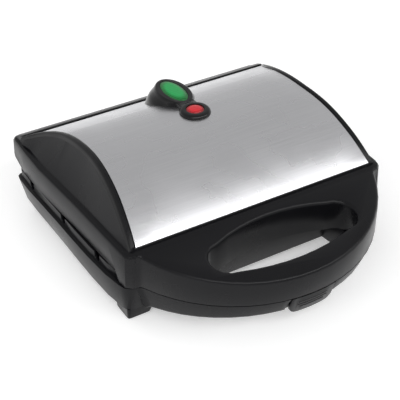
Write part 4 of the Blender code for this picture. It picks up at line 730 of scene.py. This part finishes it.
def drawUp(rise, wide, long, centre, shift=0.0):
    # one level more: extruded, scaled about its own middle and slid along Y
    bpy.ops.mesh.extrude_region_move(TRANSFORM_OT_translate={"value": (0.0, shift, rise)})
    bpy.ops.transform.resize(value=(wide, long, 1.0), center_override=centre)


def turretGrowth(key, low, high):
    return blendTable(turretValues[key], high) / blendTable(turretValues[key], low)


def turretBack(share):
    return turretValues["shift"] * blendTable(turretValues["backShares"], share)


greenPlace = lensValues["green"]["place"]
redPlace = lensValues["red"]["place"]
turretHeight = turretValues["top"] - turretValues["foot"]
turret = ovalStart(
    "lampTurret", turretValues["halfWidth"] * turretValues["wideShares"][0][1],
    turretValues["halfLength"] * turretValues["longShares"][0][1], greenPlace + turretBack(0.0),
    turretValues["foot"], turretValues["steps"],
)
shares = evenSteps(0.0, turretValues["wallTopShare"], turretValues["wallLevels"])
shares += turretValues["lipShares"]
for low, high in zip(shares, shares[1:]):
    centre = (0.0, greenPlace + turretBack(high), turretValues["foot"] + turretHeight * high)
    drawUp(
        turretHeight * (high - low), turretGrowth("wideShares", low, high),
        turretGrowth("longShares", low, high), centre, turretBack(high) - turretBack(low),
    )
turnOutward()
collar = ovalStart(
    "redCollar", turretValues["collar"], turretValues["collar"], redPlace, turretValues["foot"],
    turretValues["collarSteps"],
)
centre = (0.0, redPlace, turretValues["top"])
drawUp(turretHeight - turretValues["collarLip"], 1.0, 1.0, centre)
for rise, wide in turretValues["collarLevels"]:
    drawUp(rise, wide, wide, centre)
turnOutward()
bpy.ops.mesh.primitive_cube_add(
    size=1.0, location=(0.0, (redPlace + greenPlace) / 2, (turretValues["foot"] + turretValues["top"]) / 2),
)
neck = startPiece("turretNeck")
neck.scale = (turretValues["neck"] * 2, greenPlace - redPlace, turretHeight - turretValues["neckDrop"])
bakePlace(neck)
softEdges(neck, turretValues["neckEdge"], turretValues["neckSegments"], turretValues["neckAngle"])
unite(turret, collar)
unite(turret, neck)
for colour in ("green", "red"):
    shape = lensValues[colour]
    floorHeight = turretValues["top"] - turretValues["wellDeep"]
    well = ovalStart(
        colour + "Well", *turretValues[colour + "Well"], shape["place"], floorHeight, shape["steps"],
    )
    drawUp(turretValues["wellCut"], 1.0, 1.0, (0.0, shape["place"], 0.0))
    turnOutward()
    subtract(turret, well)
underForm = startRibbon(
    "underForm", underValues["halfWidth"], underValues["front"],
    sheetHeight(underValues["front"]) + underValues["gap"],
)
drawRibbon(evenSteps(underValues["front"], underValues["rear"], underValues["rows"]))
bpy.ops.mesh.select_all(action="SELECT")
bpy.ops.mesh.extrude_region_move(TRANSFORM_OT_translate={"value": (0.0, 0.0, -underValues["deep"])})
turnOutward()
subtract(turret, underForm)
softEdges(turret, turretValues["edge"], turretValues["edgeSegments"], turretValues["edgeAngle"])
smoothShade(turret, turretValues["shadeAngle"])
finishPiece(turret, "lid", ["indicator_bezel"], glossBlack)

# lenses: a bevelled flange and a domed heart, seated in the turret's wells
domeValues = {
    "seatGap": 0.3 * mm, "flange": 0.55 * mm, "lengthPower": 0.8, "shadeAngle": 40,
    "levels": (
        (0.25 * mm, 0.2 * mm), (0.9 * mm, 0.05 * mm), (0.25 * mm, 0.35 * mm), (0.7 * mm, 0.28 * mm),
        (1.1 * mm, 0.22 * mm), (1.3 * mm, 0.12 * mm), (1.0 * mm, 0.05 * mm),
    ),
}
for colour, material in (("green", greenLens), ("red", redLens)):
    shape = lensValues[colour]
    seat = turretValues["top"] - turretValues["wellDeep"] + domeValues["seatGap"]
    lens = ovalStart(colour + "Lens", shape["wide"], shape["long"], shape["place"], seat, shape["steps"])
    centre = (0.0, shape["place"], 0.0)
    drawUp(domeValues["flange"], 1.0, 1.0, centre)
    width = shape["wide"]
    for inset, rise in domeValues["levels"]:
        wide = (width - inset) / width
        long = 1.0 - (1.0 - wide) * (shape["wide"] / shape["long"]) ** domeValues["lengthPower"]
        drawUp(rise, wide, long, centre)
        width *= wide
    turnOutward()
    smoothShade(lens, domeValues["shadeAngle"])
    finishPiece(lens, "lid", [colour + "_lens"], material)
print("turret and lenses made")

# plates: the castings, their cavities milled smooth and their rims broken
plateValues = {
    "cavityWidth": 36.1 * mm, "cavityDepth": 12.55 * mm, "cavityLength": 80.1 * mm, "cavityMiddle": 53.0 * mm,
    "cavitySteps": 48, "cavityRings": 24, "middleReach": 0.01 * mm,
    "rows": (-18.5 * mm, 33.5 * mm, 85.5 * mm), "lowerFace": 34.0 * mm, "upperFace": 34.4 * mm,
    "channel": 3.36 * mm, "channelHeight": 34.2 * mm, "channelSteps": 24,
    "channelFrom": 88.0 * mm, "channelTo": 112.0 * mm,
    "rim": 0.6 * mm, "rimSegments": 3, "rimAngle": 40, "shadeAngle": 35,
}


def cavityForm(side, row, height):
    # a flattened ball, pulled apart at its middle
    bpy.ops.mesh.primitive_uv_sphere_add(
        segments=plateValues["cavitySteps"], ring_count=plateValues["cavityRings"], radius=1.0,
    )
    piece = startPiece("cavityForm")
    piece.scale = (plateValues["cavityWidth"] / 2, plateValues["cavityWidth"] / 2, plateValues["cavityDepth"])
    bakePlace(piece)
    straight = (plateValues["cavityLength"] - plateValues["cavityWidth"]) / 2
    for way in (-1, 1):
        editSelect(piece, lambda vert: vert.co.x * way > plateValues["middleReach"])
        bpy.ops.transform.translate(value=(way * straight, 0.0, 0.0))
        endEdit()
    piece.location = (side * plateValues["cavityMiddle"], row, height)
    bakePlace(piece)
    return piece


def channelForm(side, row):
    # the round way of a stick, from inside its cavity to past the plate's edge
    start, end = plateValues["channelFrom"], plateValues["channelTo"]
    bpy.ops.mesh.primitive_cylinder_add(
        vertices=plateValues["channelSteps"], radius=plateValues["channel"], depth=end - start,
        location=(side * (start + end) / 2, row, plateValues["channelHeight"]),
        rotation=(0.0, math.pi / 2, 0.0),
    )
    piece = startPiece("channelForm")
    bakePlace(piece)
    return piece


for half, body in (("lower", "base"), ("upper", "lid")):
    casting = copyNode(half + "_plate", half + "PlateCasting")
    for side in (-1, 1):
        for row in plateValues["rows"]:
            subtract(casting, cavityForm(side, row, plateValues[half + "Face"]))
            subtract(casting, channelForm(side, row))
    softEdges(casting, plateValues["rim"], plateValues["rimSegments"], plateValues["rimAngle"])
    smoothShade(casting, plateValues["shadeAngle"])
    finishPiece(casting, body, [half + "_plate"], plateCoating)
print("plates made")

# plate screws: pan heads with a cross recess, one modelled and copied, each turned another way
screwValues = {
    "head": 3.2 * mm, "headDeep": 2.0 * mm, "headSteps": 40, "edge": 0.55 * mm, "edgeSegments": 4,
    "edgeAngle": 50, "shank": 1.5 * mm, "shankSteps": 24, "length": 12.0 * mm, "overlap": 0.05 * mm,
    "slot": 0.9 * mm, "slotLong": 3.6 * mm, "slotDeep": 1.0 * mm, "shadeAngle": 35,
    "lowerTurn": 0.9, "upperTurn": 0.6,
}
bpy.ops.mesh.primitive_cylinder_add(
    vertices=screwValues["headSteps"], radius=screwValues["head"], depth=screwValues["headDeep"],
    location=(0.0, 0.0, -screwValues["headDeep"] / 2),
)
screwForm = startPiece("plateScrewForm")
bakePlace(screwForm)
softEdges(screwForm, screwValues["edge"], screwValues["edgeSegments"], screwValues["edgeAngle"])
bpy.ops.mesh.primitive_cylinder_add(
    vertices=screwValues["shankSteps"], radius=screwValues["shank"], depth=screwValues["length"],
    location=(0.0, 0.0, screwValues["overlap"] - screwValues["headDeep"] - screwValues["length"] / 2),
)
shank = startPiece("screwShank")
bakePlace(shank)
unite(screwForm, shank)
slotSizes = (screwValues["slotLong"], screwValues["slot"])
for wide, long in (slotSizes, slotSizes[::-1]):
    bpy.ops.mesh.primitive_cube_add(size=1.0)
    slotForm = startPiece("slotForm")
    slotForm.scale = (wide, long, screwValues["slotDeep"] * 2)
    bakePlace(slotForm)
    subtract(screwForm, slotForm)
smoothShade(screwForm, screwValues["shadeAngle"])
for half, body, tip in (("lower", "base", 0.0), ("upper", "lid", math.pi)):
    for number in range(1, 5):
        node = f"{half}_plate_screw_{number}"
        low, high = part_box(node)
        screw = bpy.data.objects.new(f"{half}PlateScrew{number}", screwForm.data.copy())
        scene.collection.objects.link(screw)
        screw.location = ((low[0] + high[0]) / 2, (low[1] + high[1]) / 2, low[2] if tip else high[2])
        screw.rotation_euler = (tip, 0.0, screwValues[half + "Turn"] * number)
        bakePlace(screw)
        finishPiece(screw, body, [node], zincSteel)
bpy.data.objects.remove(screwForm, do_unlink=True)
print("screws made")

# latch clip: its own moulding, with broken edges
latchValues = {"edge": 0.35 * mm, "segments": 2, "shadeAngle": 35}
latchMoulding = copyNode("latch_clip", "latchMoulding")
softEdges(latchMoulding, latchValues["edge"], latchValues["segments"])
smoothShade(latchMoulding, latchValues["shadeAngle"])
finishPiece(latchMoulding, "latch", ["latch_clip"], absBlack)
print("latch made")

# the rest of the frame's own pieces get their finishes
finishes = {
    "lower_heater": heaterSheath, "upper_heater": heaterSheath, "lower_heat_shield": shieldTin,
    "upper_heat_shield": shieldTin, "thermostat": shieldTin, "thermal_fuse": shieldTin,
    "terminal_block": steatite, "cord_gland": padRubber, "hinge_pin_left": zincSteel,
    "hinge_pin_right": zincSteel, "latch_pin": zincSteel, "green_lamp": lampGlass, "red_lamp": lampGlass,
}
for corner in ("front_left", "front_right", "rear_left", "rear_right"):
    finishes["pad_" + corner] = padRubber
for node, material in finishes.items():
    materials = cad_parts[node].data.materials
    if len(materials) == 0:
        materials.append(material)
    for index in range(len(materials)):
        materials[index] = material
print("finishes given")
